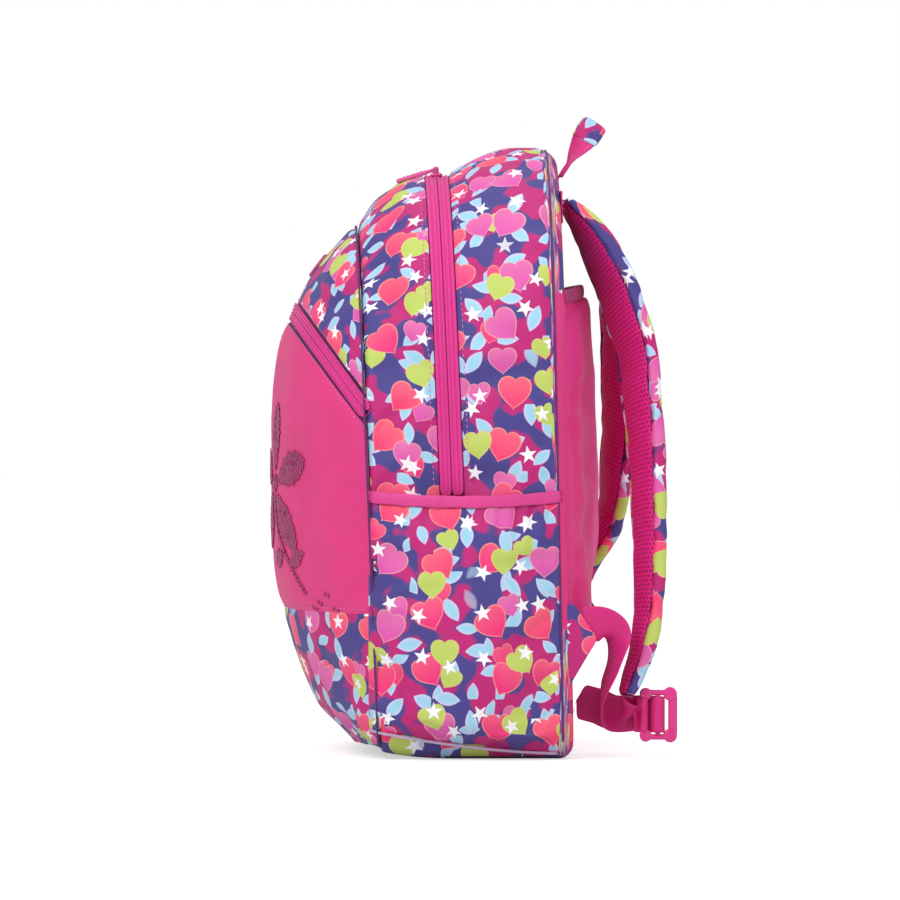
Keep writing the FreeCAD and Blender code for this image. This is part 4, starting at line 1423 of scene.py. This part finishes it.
sleeveShape = {"half": 134.0, "low": 94.0, "top": 330.0, "bulges": (18.0, 23.0, 23.0, 17.0),
               "wall": 5.0, "hem": 10.0, "swell": (3.0, 3.0, 0.02), "fill": 0.5}


def backFaceY(height):
    slope = math.tan(math.radians(bodyShape["backLean"]))
    return bodyShape["backY"] + bodyShape["puff"] - height * slope


def sleevePoint(height, share, extra=0.0):
    shape = sleeveShape
    span = (height - shape["low"]) / (shape["top"] - shape["low"]) * 3
    index = min(max(int(span), 0), 2)
    bulge = between(*shape["bulges"][index:index + 2], ease(span - index)) + extra
    across, out = bow(shape["half"], bulge, share)
    return Vector((-across, backFaceY(height) + out, height))


def buildSleeve():
    shape = sleeveShape
    shares = spread(0, 1, 70)
    rows = [[sleevePoint(height, share) for share in shares]
            for height in spread(shape["low"], shape["top"], 54)]
    uvs = [[(share * 246, point.z) for share, point in zip(shares, row)] for row in rows]
    sleeve = sheetFrom("trolleySleeve", rows, uvs, ["sleeveCloth"])

    def seams(p):
        beside = abs(p.x) > shape["half"] - 3
        return 1.0 if beside or p.z < shape["low"] + 4 or p.z > shape["top"] - 4 else 0.0

    swell(sleeve, seams, *shape["swell"])

    def folds(p, normal):
        edge = ease((shape["half"] - abs(p.x)) / 14)
        up = cloud(p.x * 0.035, 4.0, p.z * 0.004, 5.0)
        soft = cloud(p.x * 0.012, 9.0, p.z * 0.022, 6.0)
        return edge * (up + soft - 1.2)

    rumple(sleeve, folds)
    apply(sleeve, "SOLIDIFY", "padding", thickness=shape["wall"] * mm, offset=-1.0)
    soften(sleeve)
    place(sleeve, "root", "pink_fabric", "trolley_sleeve")

    line = [sleevePoint(shape["top"] + 5.0 - 4.0 * (2 * share - 1) ** 2, share, -1.2)
            for share in spread(0, 1, 90)]
    normals = [Vector((p.x * 0.12, 1, 0)).normalized() for p in line]
    half = shape["hem"] / 2
    hem = sweep("sleeveHem", line, normals, [
        (-half, -1.2), (-half, 1.6), (-half * 0.6, 2.3), (0, 2.5), (half * 0.6, 2.3), (half, 1.6),
        (half, -1.2), (half * 0.6, -2.6), (0, -2.9), (-half * 0.6, -2.6)], "hemTape")
    soften(hem, 1)
    place(hem, "root", "binding", "sleeve_hem")
    print("trolley sleeve")


buildSleeve()


# Shoulder straps: a printed cover round the foam, with spacer mesh on the side that is worn.

strapShape = {
    "right": [(46, 0, 0, 29, 0), (50, 91, 380, 30, 12), (56, 103.5, 356, 30, 20),
              (64, 115, 328, 30, 24), (74, 126, 292, 29, 24), (84, 130.5, 250, 27, 24),
              (93, 133.5, 200, 25, 22), (100, 134.5, 150, 23, 22), (105, 133, 108, 21, 20),
              (109, 127.5, 74, 18, 16), (112, 117.5, 44, 15, 10)],
    "left": [(-46, 0, 0, 29, 0), (-50, 93, 384, 30, 6), (-56, 105, 366, 30, 10),
             (-62, 111.5, 342, 30, 12), (-70, 114.5, 306, 29, 12), (-80, 114.5, 260, 27, 12),
             (-92, 112.5, 214, 25, 10), (-105, 108, 172, 23, 6), (-112, 100, 138, 20, 2),
             (-117, 91.5, 112, 15, 0)],
    "rootZ": 399.0, "cover": 8.5, "mesh": 3.4, "margin": 6.0, "farOut": 6.0, "farTurn": 12.0,
}


def strapFrames(route, steps):
    rootY = backFaceY(strapShape["rootZ"]) + 1.6 + 0.3 + 5.0
    centres = [Vector((route[0][0], rootY, strapShape["rootZ"]))]
    centres += [Vector(stop[:3]) for stop in route[1:]]
    line = smoothLine(centres, steps)
    extras = smoothLine([Vector((stop[3], stop[4], 0)) for stop in route], steps)
    frames = []
    for index, (centre, extra) in enumerate(zip(line, extras)):
        tangent = tangentAt(line, index)
        width = (Vector((1, 0, 0)) - tangent * tangent.x).normalized()
        inward = tangent.cross(width)
        twist = extra.y
        if centre.x < 0:
            # The far strap hangs fuller and more turned than the solid's plain route.
            full = ease((360 - centre.z) / 60) * ease((centre.z - 118) / 50)
            centre = centre + Vector((0, strapShape["farOut"] * full, 0))
            twist += strapShape["farTurn"] * full
        frames.append((centre, inward * cosine(twist) + width * sine(twist), extra.x))
    return frames


def buildStrap(name, side):
    shape = strapShape
    frames = strapFrames(shape[name], 9)
    line = [f[0] for f in frames]
    normals = [f[1] for f in frames]
    last = len(frames) - 1
    total = shape["cover"] + 0.3 + shape["mesh"]
    low = -total / 2
    split = low + shape["cover"]

    def thin(index):
        # The pad thins out where it is sewn down at both ends.
        return 0.62 + 0.38 * min(ease(index / 6), ease((last - index) / 5))

    def coverProfile(index):
        half = frames[index][2]
        s = thin(index)
        return [(-half, (split - 2.2) * s), (-half, (low + 3.4) * s),
                (-half + 1.6, (low + 1.2) * s), (-half + 5, low * s),
                (-half * 0.45, (low - 0.7) * s), (0, (low - 0.9) * s),
                (half * 0.45, (low - 0.7) * s), (half - 5, low * s),
                (half - 1.6, (low + 1.2) * s), (half, (low + 3.4) * s), (half, (split - 2.2) * s),
                (half - 1.2, (split + 0.6) * s), (half - 3.4, (split + 1.2) * s),
                (half - 6.4, (split - 0.2) * s),
                (0, (split - 0.6) * s), (-half + 6.4, (split - 0.2) * s),
                (-half + 3.4, (split + 1.2) * s),
                (-half + 1.2, (split + 0.6) * s)]

    def meshProfile(index):
        half = frames[index][2] - shape["margin"] + 0.6
        s = thin(index)
        top = total / 2
        rise = [(-half, split - 0.2), (-half * 0.94, split + 1.6), (-half * 0.78, top - 0.2),
                (-half * 0.4, top + 0.9),
                (0, top + 1.2), (half * 0.4, top + 0.9), (half * 0.78, top - 0.2),
                (half * 0.94, split + 1.6),
                (half, split - 0.2), (0, split - 0.4)]
        return [(a, o * s) for a, o in rise]

    cover = sweep("strapCover" + name.title(), line, normals, coverProfile, "printCloth")
    lining = sweep("strapMesh" + name.title(), line, normals, meshProfile, "airMesh")
    rootZ = shape["rootZ"]

    def coverSeams(p):
        return 1.0 if p.z > rootZ - 16 else 0.35

    for piece, cap in ((cover, 1.6), (lining, 1.4)):
        swell(piece, coverSeams, 1.5, cap, 0.015)

    def folds(p, normal):
        return (cloud(p.x * 0.03, p.y * 0.03, p.z * 0.035 + side * 4, 1.7)
                + cloud(p.x * 0.09, p.y * 0.09, p.z * 0.1 + side * 4, 0.5))

    rumple(cover, folds)
    rumple(lining, folds)
    for piece, slotName, node in ((cover, "print_fabric", "strap_cover_"),
                                  (lining, "air_mesh", "strap_mesh_")):
        soften(piece)
        place(piece, "strap_" + name, slotName, node + name)


for name, side in (("right", 1), ("left", -1)):
    buildStrap(name, side)
print("shoulder straps")


# Webbing, its locks and the tabs that hold them.

webShape = {"width": 25.0, "thick": 1.6, "lockLength": 25.0, "lockWidth": 36.0, "lockThick": 4.4,
            "rail": 4.0,
            "bar": 3.4, "wing": 143.0}
lockFrames = {
    "right": (Vector((112, 130.5, 31)), Vector((0, 1, 0)), Vector((1, 0, 0)), Vector((0, 0, -1))),
    "left": (Vector((-115, 88, 99)), Vector((0, 0, -1)), Vector((0, 1, 0)), Vector((1, 0, 0))),
}


def lockPoint(name, along, outward):
    bar, forward, face = lockFrames[name][:3]
    return bar + forward * along + face * outward


def ribbon(name, stops, width, thick, material, steps=6, crown=0.0):
    centres = smoothLine([Vector(stop[0]) for stop in stops], steps)
    across = smoothLine([Vector(stop[1]).normalized() for stop in stops], steps)
    normals = [tangentAt(centres, index).cross(direction) for index, direction in enumerate(across)]
    piece = sweep(name, centres, normals, tapeProfile(width, thick, 6, crown), material)
    soften(piece, 1)
    return piece


def buildLock(name):
    shape = webShape
    start = -shape["lockThick"] / 2
    end = start + shape["lockLength"]
    half = shape["lockWidth"] / 2
    thick = shape["lockThick"] / 2
    parts = []
    for side in (-1, 1):
        rail = roundedBlock((start, -thick, min(side * half, side * (half - shape["rail"]))),
                            (end, thick, max(side * half, side * (half - shape["rail"]))), 1.6, 5)
        parts.append(rail)
        for along, size in ((start + 3.8, 4.4), (end - 3.6, 5.0)):
            spot = side * (half - 3.0)
            lobe = rod((along, -thick * 1.15, spot), (along, thick * 1.15, spot), size, 24)
            parts.append(lobe)
    last = shape["lockLength"] - shape["lockThick"]
    for along in (0.0, last / 2, last):
        bar = rod((along, 0, -half + 2), (along, 0, half - 2), shape["bar"] / 2 * 1.05, 20)
        parts.append(bar)
    lip = roundedBlock((end - 5.0, -thick * 0.95, -half + 3), (end + 1.6, thick * 0.7, half - 3),
                       1.7, 5)
    parts.append(lip)
    lock = joined("ladderLock" + name.title(), parts)
    bar, forward, face, width = lockFrames[name]
    setOn(lock, bar, forward, face, width, "lockPlastic")
    place(lock, "ladder_lock_" + name, "buckle_plastic", "ladder_lock_" + name)


def buildStrapWebbing():
    shape = webShape
    inside = shape["wing"] - shape["thick"] / 2 - 0.3
    down = (0, 0, -1)
    level = (1, 0, 0)
    right = [((inside, 86, 97), (0, 0.2, 0.98)), ((140, 100, 97), (0.15, 0.25, 0.95)),
             ((136, 110, 89), (0.6, 0.45, 0.65)),
             ((128, 108, 68), (0.95, 0.3, 0)), ((114, 101, 47), (0.78, 0, -0.62)),
             ((101, 102, 34), (0.4, 0, -0.9)), ((92, 112, 30), down), ((94, 124, 31), down)]
    right += [(lockPoint("right", along, out), down) for along, out in (
        (3, -8), (6.2, -1.5), (7.4, 2.9), (10.3, 4.2), (13.4, 2.9), (14.6, -1.5), (11, -14),
        (-2, -24), (-20, -27))]
    right += [((86, 98, 36), down), ((88, 83, 40), down)]
    left = [((-inside, 86, 97), (0, 0.2, 0.98)), ((-137.5, 96, 96), (0.4, 0.3, 0.87)),
            ((-125, 100, 91), (0.95, 0.1, 0.2)),
            ((-116.5, 97, 85), level)]
    left += [(lockPoint("left", along, out), level) for along, out in (
        (20, 4.4), (25, 2.4), (25.5, -1.4), (22, -4.0), (17, -3.4), (13.4, 2.9), (10.3, 4.2),
        (7.4, 2.9),
        (5.9, -1.5), (9, -6), (18, -7.4), (36, -7.0))]
    for name, stops in (("right", right), ("left", left)):
        web = ribbon("strapWebbing" + name.title(), stops, shape["width"], shape["thick"],
                     "strapWebbing", 5)
        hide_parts("strap_webbing_" + name)
        "strap_" + name
        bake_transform(web)
        buildLock(name)

    def tab(name, start, startAcross, middle, middleAcross):
        bar, width = lockFrames[name][0], lockFrames[name][3]
        radius = shape["bar"] / 2 + 0.3 + 0.8
        away = Vector(middle) - bar
        away = (away - width * away.dot(width)).normalized()
        side = away.cross(width)
        stops = [(start, startAcross), (middle, middleAcross), (bar + away * (radius + 2.2), width)]
        loop = [(bar + (away * cosine(turn) + side * sine(turn)) * radius, width)
                for turn in spread(38, 322, 9)]
        stops += loop + [(bar + away * (radius + 2.2) - side * 0.8, width)]
        piece = ribbon("strapTab" + name.title(), stops, 24.6, 1.5, "strapWebbing", 4)
        place(piece, "strap_" + name, "webbing", "strap_tab_" + name)

    tab("right", (112, 115.9, 42.1), level, (112, 121, 32.5), (0.6, 0, 0.8))
    tab("left", (-117.2, 91.2, 110.9), (0.97, -0.06, -0.17), (-117.6, 90, 107.4), level)
    print("webbing, locks and tabs")


buildStrapWebbing()


# Printed wings that anchor the webbing, the yoke that the straps are sewn to, and the carry loop.

wingShape = {"x": 143.0, "off": 2.6, "puff": 1.4, "thick": 2.4, "top": 128.0,
             "tip": (97.0, 87.0), "low": 42.0, "seam": 71.0}
yokeShape = {"half": 90.0, "low": 384.0, "top": 408.0, "thick": 1.3, "lift": 1.5, "ripple": 0.35}
haulShape = {"lean": 33.0, "z": 418.0, "x": 34.0, "height": 46.0, "width": 16.0, "thick": 2.6,
             "bead": 2.0, "wrapFrom": 31.0, "wrapThick": 5.4}


def buildWings():
    shape = wingShape
    tipY, tipZ = shape["tip"]
    for name, side in (("right", 1), ("left", -1)):
        rows = []
        uvs = []
        for height in spread(shape["low"], shape["top"], 24):
            if height < tipZ:
                reach = (height - shape["low"]) / (tipZ - shape["low"])
            else:
                reach = (shape["top"] - height) / (shape["top"] - tipZ)
            reach = max(reach, 0.04)
            rise = math.sin(math.pi * (height - shape["low"]) / (shape["top"] - shape["low"]))
            lean = height * sine(bodyShape["backLean"])
            seam = shape["seam"] - lean
            row = []
            for share in (spread(0, 1, 14) if side > 0 else reversed(spread(0, 1, 14))):
                y = seam + (tipY - seam) * reach * share
                puff = shape["puff"] * math.sin(math.pi * min(share * 1.02, 1)) * rise
                row.append(Vector((side * (shape["x"] + shape["off"] + puff), y, height)))
            rows.append(row)
            uvs.append([(p.y + 900 * side, p.z + 300) for p in row])
        wing = sheetFrom("anchorWing" + name.title(), rows, uvs, ["printCloth"])
        apply(wing, "SOLIDIFY", "cloth", thickness=shape["thick"] * mm, offset=-1.0)
        soften(wing)
        place(wing, "root", "print_fabric", "anchor_wing_" + name)


def buildYoke():
    shape = yokeShape
    rows = []
    uvs = []
    for height in spread(shape["low"], shape["top"], 10):
        row = []
        for x in spread(shape["half"], -shape["half"], 50):
            ripple = math.cos(x * 0.5) * math.sin(height * 0.9)
            lift = shape["lift"] + shape["ripple"] * ripple
            row.append(Vector((x, backFaceY(height) + lift, height)))
        rows.append(row)
        uvs.append([(p.x + 400, p.z) for p in row])
    yoke = sheetFrom("strapYoke", rows, uvs, ["strapWebbing"])
    apply(yoke, "SOLIDIFY", "cloth", thickness=shape["thick"] * mm, offset=-1.0)
    soften(yoke)
    place(yoke, "root", "webbing", "strap_yoke")


def buildHaul():
    shape = haulShape
    root = Vector((0, backFaceY(shape["z"]) + 0.3 + shape["bead"], shape["z"]))
    up = Vector((0, sine(shape["lean"]), cosine(shape["lean"])))
    back = Vector((0, cosine(shape["lean"]), -sine(shape["lean"])))
    level = Vector((1, 0, 0))
    top = shape["height"] - shape["thick"] / 2

    def spot(x, rise):
        return root + Vector((x, 0, 0)) + up * rise

    half = [(spot(shape["x"], 0), level), (spot(shape["x"], 12), level),
            (spot(shape["x"] - 2, 24), level * 0.75 + back * 0.6),
            (spot(shape["x"] - 4, 34), level * 0.25 + back),
            (spot(shape["x"] - 8, top - 2.6), back),
            (spot(shape["x"] - 15, top), back)]
    # The far half repeats in reverse, turned so that the width keeps its side.
    other = [(Vector((-point.x, point.y, point.z)), Vector((-width.x, width.y, width.z)))
             for point, width in reversed(half)]
    webbing = ribbon("haulWebbing", half + other, shape["width"], shape["thick"] * 0.8,
                     "strapWebbing", 7)
    place(webbing, "haul_loop", "webbing", "haul_webbing")
    stops = half + other
    centres = smoothLine([stop[0] for stop in stops], 7)
    across = smoothLine([stop[1].normalized() for stop in stops], 7)
    pairs = [(c, a) for c, a in zip(centres, across) if (c - root).dot(up) > shape["wrapFrom"]]
    line = [c for c, a in pairs]
    normals = [tangentAt(line, index).cross(pair[1]) for index, pair in enumerate(pairs)]
    wide = shape["width"] / 2 + 1.6
    tall = shape["wrapThick"] / 2

    def gripProfile(index):
        middle = 1 - abs(2 * index / (len(line) - 1) - 1) ** 2
        full = 0.75 + 0.6 * middle
        return [(a * wide, o * tall * full) for a, o in (
            (-1, 0), (-0.95, 0.6), (-0.75, 0.9), (0, 1), (0.75, 0.9), (0.95, 0.6), (1, 0),
            (0.95, -0.6),
            (0.75, -0.9), (0, -1), (-0.75, -0.9), (-0.95, -0.6))]

    grip = sweep("haulGrip", line, normals, gripProfile, "printCloth")
    soften(grip)
    place(grip, "haul_loop", "print_fabric", "haul_grip")


buildWings()
buildYoke()
buildHaul()
print("wings, yoke and carry loop")


# Trim laid on the finished cloth: blank label, sequin flower, topstitching.

labelShape = {"half": 13.0, "low": 345.0, "high": 362.0, "thick": 2.2}
sequinShape = {"radius": 1.5, "pitch": 2.75, "centre": (44.0, 196.0), "petal": 50.0,
               "petalWidth": 24.0, "petals": 5,
               "hub": 8.0, "lift": 0.55, "tilt": 0.25, "thick": 0.35}


def buildLabel():
    shape = labelShape
    skin = skinOf(domeParts["frontPanel"])
    rows = []
    uvs = []
    for v in spread(-1, 1, 12):
        row = []
        for u in spread(-1, 1, 18):
            # Corners are drawn in, so that the plate is rounded.
            pull = 1 - 0.05 * (abs(u) ** 6) * (abs(v) ** 6)
            x = u * shape["half"] * pull
            z = (shape["low"] + shape["high"]) / 2 + v * (shape["high"] - shape["low"]) / 2 * pull
            hit = skin.ray_cast(Vector((x, -300, z)), Vector((0, 1, 0)))
            edge = max(abs(u), abs(v))
            lift = shape["thick"] * (0.55 + 0.45 * (edge > 0.8)) * (0.25 if edge > 0.98 else 1)
            row.append(hit[0] + hit[1].normalized() * lift * (1 if hit[1].y < 0 else -1))
        rows.append(row)
        uvs.append([(p.x + 200, p.z) for p in row])
    label = sheetFrom("labelPatch", rows, uvs, ["labelRubber"])
    apply(label, "SOLIDIFY", "plate", thickness=1.4 * mm, offset=-1.0)
    soften(label)
    place(label, "root", "label", "label_patch")
    print("label")


def scattered(name, spots, shape, material):
    # spots: (point, along, normal); the same small shape is set on each.
    points, faces = shape
    allPoints, allFaces = [], []
    for point, along, normal in spots:
        normal = normal.normalized()
        along = (along - normal * along.dot(normal)).normalized()
        across = normal.cross(along)
        start = len(allPoints)
        allPoints += [(point + along * x + across * y + normal * z) * mm for x, y, z in points]
        allFaces += [[start + index for index in face] for face in faces]
    mesh = bpy.data.meshes.new(name)
    mesh.from_pydata(allPoints, [], allFaces)
    mesh.materials.append(finishes[material])
    piece = bpy.data.objects.new(name, mesh)
    scene.collection.objects.link(piece)
    only(piece)
    bpy.ops.object.shade_smooth_by_angle(angle=math.radians(50))
    return piece


def discShape(radius, thick, sides=8):
    # A dished disc with a small raised rim.
    points = [(0, 0, thick * 0.3)]
    for reach, height in ((0.55, 0.45), (1.0, 1.0), (1.0, -0.6)):
        points += [(radius * reach * cosine(360 * s / sides),
                    radius * reach * sine(360 * s / sides), thick * height)
                   for s in range(sides)]
    faces = [(0, 1 + s, 1 + (s + 1) % sides) for s in range(sides)]
    for level in (0, 1):
        a, b = 1 + level * sides, 1 + (level + 1) * sides
        faces += [(a + s, b + s, b + (s + 1) % sides, a + (s + 1) % sides) for s in range(sides)]
    faces.append(tuple(reversed([1 + 2 * sides + s for s in range(sides)])))
    return points, faces


def stitchShape(length, thick):
    sides = 5
    points = [(-length / 2, 0, 0)]
    for x, scale in ((-0.36, 0.8), (0, 1.0), (0.36, 0.8)):
        points += [(length * x, thick * scale * cosine(72 * s), thick * scale * sine(72 * s))
                   for s in range(sides)]
    points.append((length / 2, 0, 0))
    faces = [(0, 1 + (s + 1) % sides, 1 + s) for s in range(sides)]
    for level in (0, 1):
        a, b = 1 + level * sides, 1 + (level + 1) * sides
        faces += [(a + s, a + (s + 1) % sides, b + (s + 1) % sides, b + s) for s in range(sides)]
    end = len(points) - 1
    faces += [(end, 11 + s, 11 + (s + 1) % sides) for s in range(sides)]
    return points, faces


def buildSequins():
    # A plain five-petalled flower with a curved stem, two leaves and loose dots.
    shape = sequinShape
    skin = skinOf(domeParts["pocketPanel"])
    cx, cz = shape["centre"]
    flat = []
    pitch = shape["pitch"]
    for petal in range(shape["petals"]):
        turn = 18 + 72 * petal
        long, wide = shape["petal"], shape["petalWidth"]
        for row in range(-6, 7):
            for step in range(24):
                u = step * pitch + (row % 2) * pitch / 2
                v = row * pitch * 0.87
                along = u / long
                if along <= 1 and abs(v) < wide / 2 * math.sin(math.pi * along ** 1.35) ** 0.7:
                    u += shape["hub"]
                    flat.append((cx + u * cosine(turn) - v * sine(turn),
                                 cz + u * sine(turn) + v * cosine(turn)))
    for ringIndex in range(3):
        for step in range(max(1, ringIndex * 6)):
            turn = 360 * step / max(1, ringIndex * 6)
            flat.append((cx + ringIndex * pitch * cosine(turn),
                         cz + ringIndex * pitch * sine(turn)))
    for step in range(27):
        a = step / 26
        for off in (-1.4, 1.4):
            flat.append((cx + 44 * a * a + off * (1 - a * 0.5), cz - 10 - 68 * a))
    for lx, lz, turn in ((cx + 22, cz - 58, 20), (cx + 12, cz - 50, 200)):
        for row in range(-3, 4):
            for step in range(10):
                u, v = step * pitch + (row % 2) * pitch / 2, row * pitch * 0.87
                if abs(v) < 6 * math.sin(math.pi * min(u / 25, 1)) ** 0.8:
                    flat.append((lx + u * cosine(turn) - v * sine(turn),
                                 lz + u * sine(turn) + v * cosine(turn)))
    for dx, dz in ((58, -84), (68, -78), (50, -88), (74, -88), (64, -92)):
        flat.append((cx + dx, cz + dz))
        flat.append((cx + dx + 3.2, cz + dz - 1.5))
    spots = []
    for x, z in flat:
        hit = skin.ray_cast(Vector((x, -300, z)), Vector((0, 1, 0)))
        if hit[0] is None:
            continue
        normal = hit[1] if hit[1].y < 0 else -hit[1]
        tilt = Vector([cloud(x, z, depth, shape["tilt"]) for depth in (1.0, 5.0, 9.0)])
        spots.append((hit[0] + normal * shape["lift"], Vector((1, 0, 0)), normal + tilt))
    sequins = scattered("sequinFlower", spots, discShape(shape["radius"], shape["thick"]), "sequin")
    place(sequins, "root", "label")
    print("sequins:", len(spots))


def stitched(line, skin, pitch):
    spots = []
    lengths = alongLine(line)
    distance = 0.0
    index = 0
    while distance < lengths[-1]:
        while lengths[index + 1] < distance:
            index += 1
        share = (distance - lengths[index]) / max(lengths[index + 1] - lengths[index], 0.001)
        point = line[index] + (line[index + 1] - line[index]) * share
        hit = skin.find_nearest(point)
        if hit[0] is not None and (hit[0] - point).length < 14:
            out = hit[1]
            spots.append((hit[0] + out * 0.25, line[index + 1] - line[index], out))
        distance += pitch
    return spots


def buildStitches():
    shape = bodyShape
    look = trimShape
    skin = skinOf(bodyParts["rearGusset"], bodyParts["frontGusset"])
    spots = []
    for offset in (look["stitchOff"], -look["stitchOff"]):
        line = [p
                for p in ring(shape["zipY"] + offset, shape["zipLean"], shape["zipCrown"] + 1)
                if p.z > shape["split"] + 6]
        spots += stitched(line, skin, look["stitchPitch"])
    skin = skinOf(domeParts["pocketPanel"], domeParts["frontPanel"])
    for distance in (look["pocketOff"], -look["pocketOff"]):
        line = []
        for angle in spread(-pocketZipLine()[4] + 1, pocketZipLine()[4] - 1, 80):
            point, along, across, outward = pocketZipAt(angle)
            line.append(point + across * distance + outward * 1.0)
        spots += stitched(line, skin, look["stitchPitch"])
    skin = skinOf(domeParts["pocketPanel"])
    height = domeShape["lowerSeam"] + look["lowerOff"]
    line = [domePoint(Vector((fanStart.x, height)), 0, share) for share in spread(0.02, 0.98, 90)]
    spots += stitched(line, skin, look["stitchPitch"])
    # Stitches point outwards from the cloth.
    fixed = []
    for point, along, normal in spots:
        centre = Vector((0, -20, min(point.z, 260)))
        fixed.append((point, along, normal if normal.dot(point - centre) > 0 else -normal))
    stitches = scattered("topstitching", fixed,
                         stitchShape(look["stitchLength"], look["stitchThick"]), "thread")
    place(stitches, "root", "piping")
    print("stitches:", len(spots))


buildLabel()
buildSequins()
buildStitches()


# Solids that keep their own shape: coils in the zips, boards, foam and divider.

def dressFrame():
    kept = {
        "zip_coil_rear": "zipCoil", "zip_coil_front": "zipCoil", "pocket_coil_upper": "zipCoil",
        "pocket_coil_lower": "zipCoil", "base_board": "board", "back_board": "board",
        "back_foam": "foam",
        "divider_panel": "lining",
    }
    for name, finish in kept.items():
        node = nodes[name]
        if not node.material_slots:
            node.data.materials.append(finishes[finish])
        for slot in node.material_slots:
            slot.material = finishes[finish]
    print("kept solids:", len(kept))


dressFrame()


# Studio: pale floor, soft light, long lens.

studio = {"distance": 6.0, "azimuth": 89.0, "elevation": 1.2, "aim": (0.0, -0.0066, 0.219),
          "lens": 328.0,
          "floorGlow": 0.56, "world": 0.55, "keyPower": 24.0, "fillPower": 7.0, "topPower": 14.0}


def areaLight(name, where, size, power, target=(0, 0, 0.2)):
    data = bpy.data.lights.new(name, "AREA")
    data.shape = "SQUARE"
    data.size = size
    data.energy = power
    lamp = bpy.data.objects.new(name, data)
    lamp.location = where
    lamp.rotation_euler = (Vector(target) - Vector(where)).to_track_quat("-Z", "Y").to_euler()
    scene.collection.objects.link(lamp)
    return lamp


def buildStudio():
    look = studio
    cameraData = bpy.data.cameras.new("camera")
    cameraData.lens = look["lens"]
    cameraData.sensor_width = 36.0
    cameraData.clip_end = 50.0
    camera = bpy.data.objects.new("camera", cameraData)
    aim = Vector(look["aim"])
    a, e = look["azimuth"], look["elevation"]
    # Azimuth 90 stands on the +X side and looks along -X.
    towards = Vector((sine(a) * cosine(e), -cosine(a) * cosine(e), sine(e)))
    camera.location = aim + towards * look["distance"]
    camera.rotation_euler = (-towards).to_track_quat("-Z", "Y").to_euler()
    scene.collection.objects.link(camera)
    scene.camera = camera

    bpy.ops.object.select_all(action="DESELECT")
    bpy.ops.mesh.primitive_plane_add(size=16)
    floor = bpy.context.object
    floor.name = "floor"
    ground = Finish("floorPaint", (235, 235, 235), 0.7)
    tree = ground.tree
    path = tree.nodes.new("ShaderNodeLightPath")
    shade = tree.nodes.new("ShaderNodeEmission")
    shade.inputs["Strength"].default_value = look["floorGlow"]
    add = tree.nodes.new("ShaderNodeAddShader")
    swap = tree.nodes.new("ShaderNodeMixShader")
    output = tree.nodes["Material Output"]
    tree.links.new(ground.shader.outputs[0], add.inputs[0])
    tree.links.new(shade.outputs[0], add.inputs[1])
    tree.links.new(path.outputs["Is Camera Ray"], swap.inputs[0])
    tree.links.new(ground.shader.outputs[0], swap.inputs[1])
    tree.links.new(add.outputs[0], swap.inputs[2])
    tree.links.new(swap.outputs[0], output.inputs[0])
    floor.data.materials.append(ground.material)

    world = bpy.data.worlds.new("studio")
    world.use_nodes = True
    scene.world = world
    tree = world.node_tree
    background = tree.nodes["Background"]
    background.inputs[0].default_value = (1, 1, 1, 1)
    background.inputs[1].default_value = look["world"]
    white = tree.nodes.new("ShaderNodeBackground")
    white.inputs[0].default_value = (1, 1, 1, 1)
    path = tree.nodes.new("ShaderNodeLightPath")
    swap = tree.nodes.new("ShaderNodeMixShader")
    tree.links.new(path.outputs["Is Camera Ray"], swap.inputs[0])
    tree.links.new(background.outputs[0], swap.inputs[1])
    tree.links.new(white.outputs[0], swap.inputs[2])
    tree.links.new(swap.outputs[0], tree.nodes["World Output"].inputs[0])

    areaLight("keyLight", (2.0, -1.1, 1.5), 1.2, look["keyPower"])
    areaLight("fillLight", (1.6, 1.8, 0.8), 1.4, look["fillPower"])
    areaLight("topLight", (0.2, 0.0, 2.2), 1.6, look["topPower"])
    scene.view_settings.view_transform = "Standard"
    print("studio ready")


buildStudio()
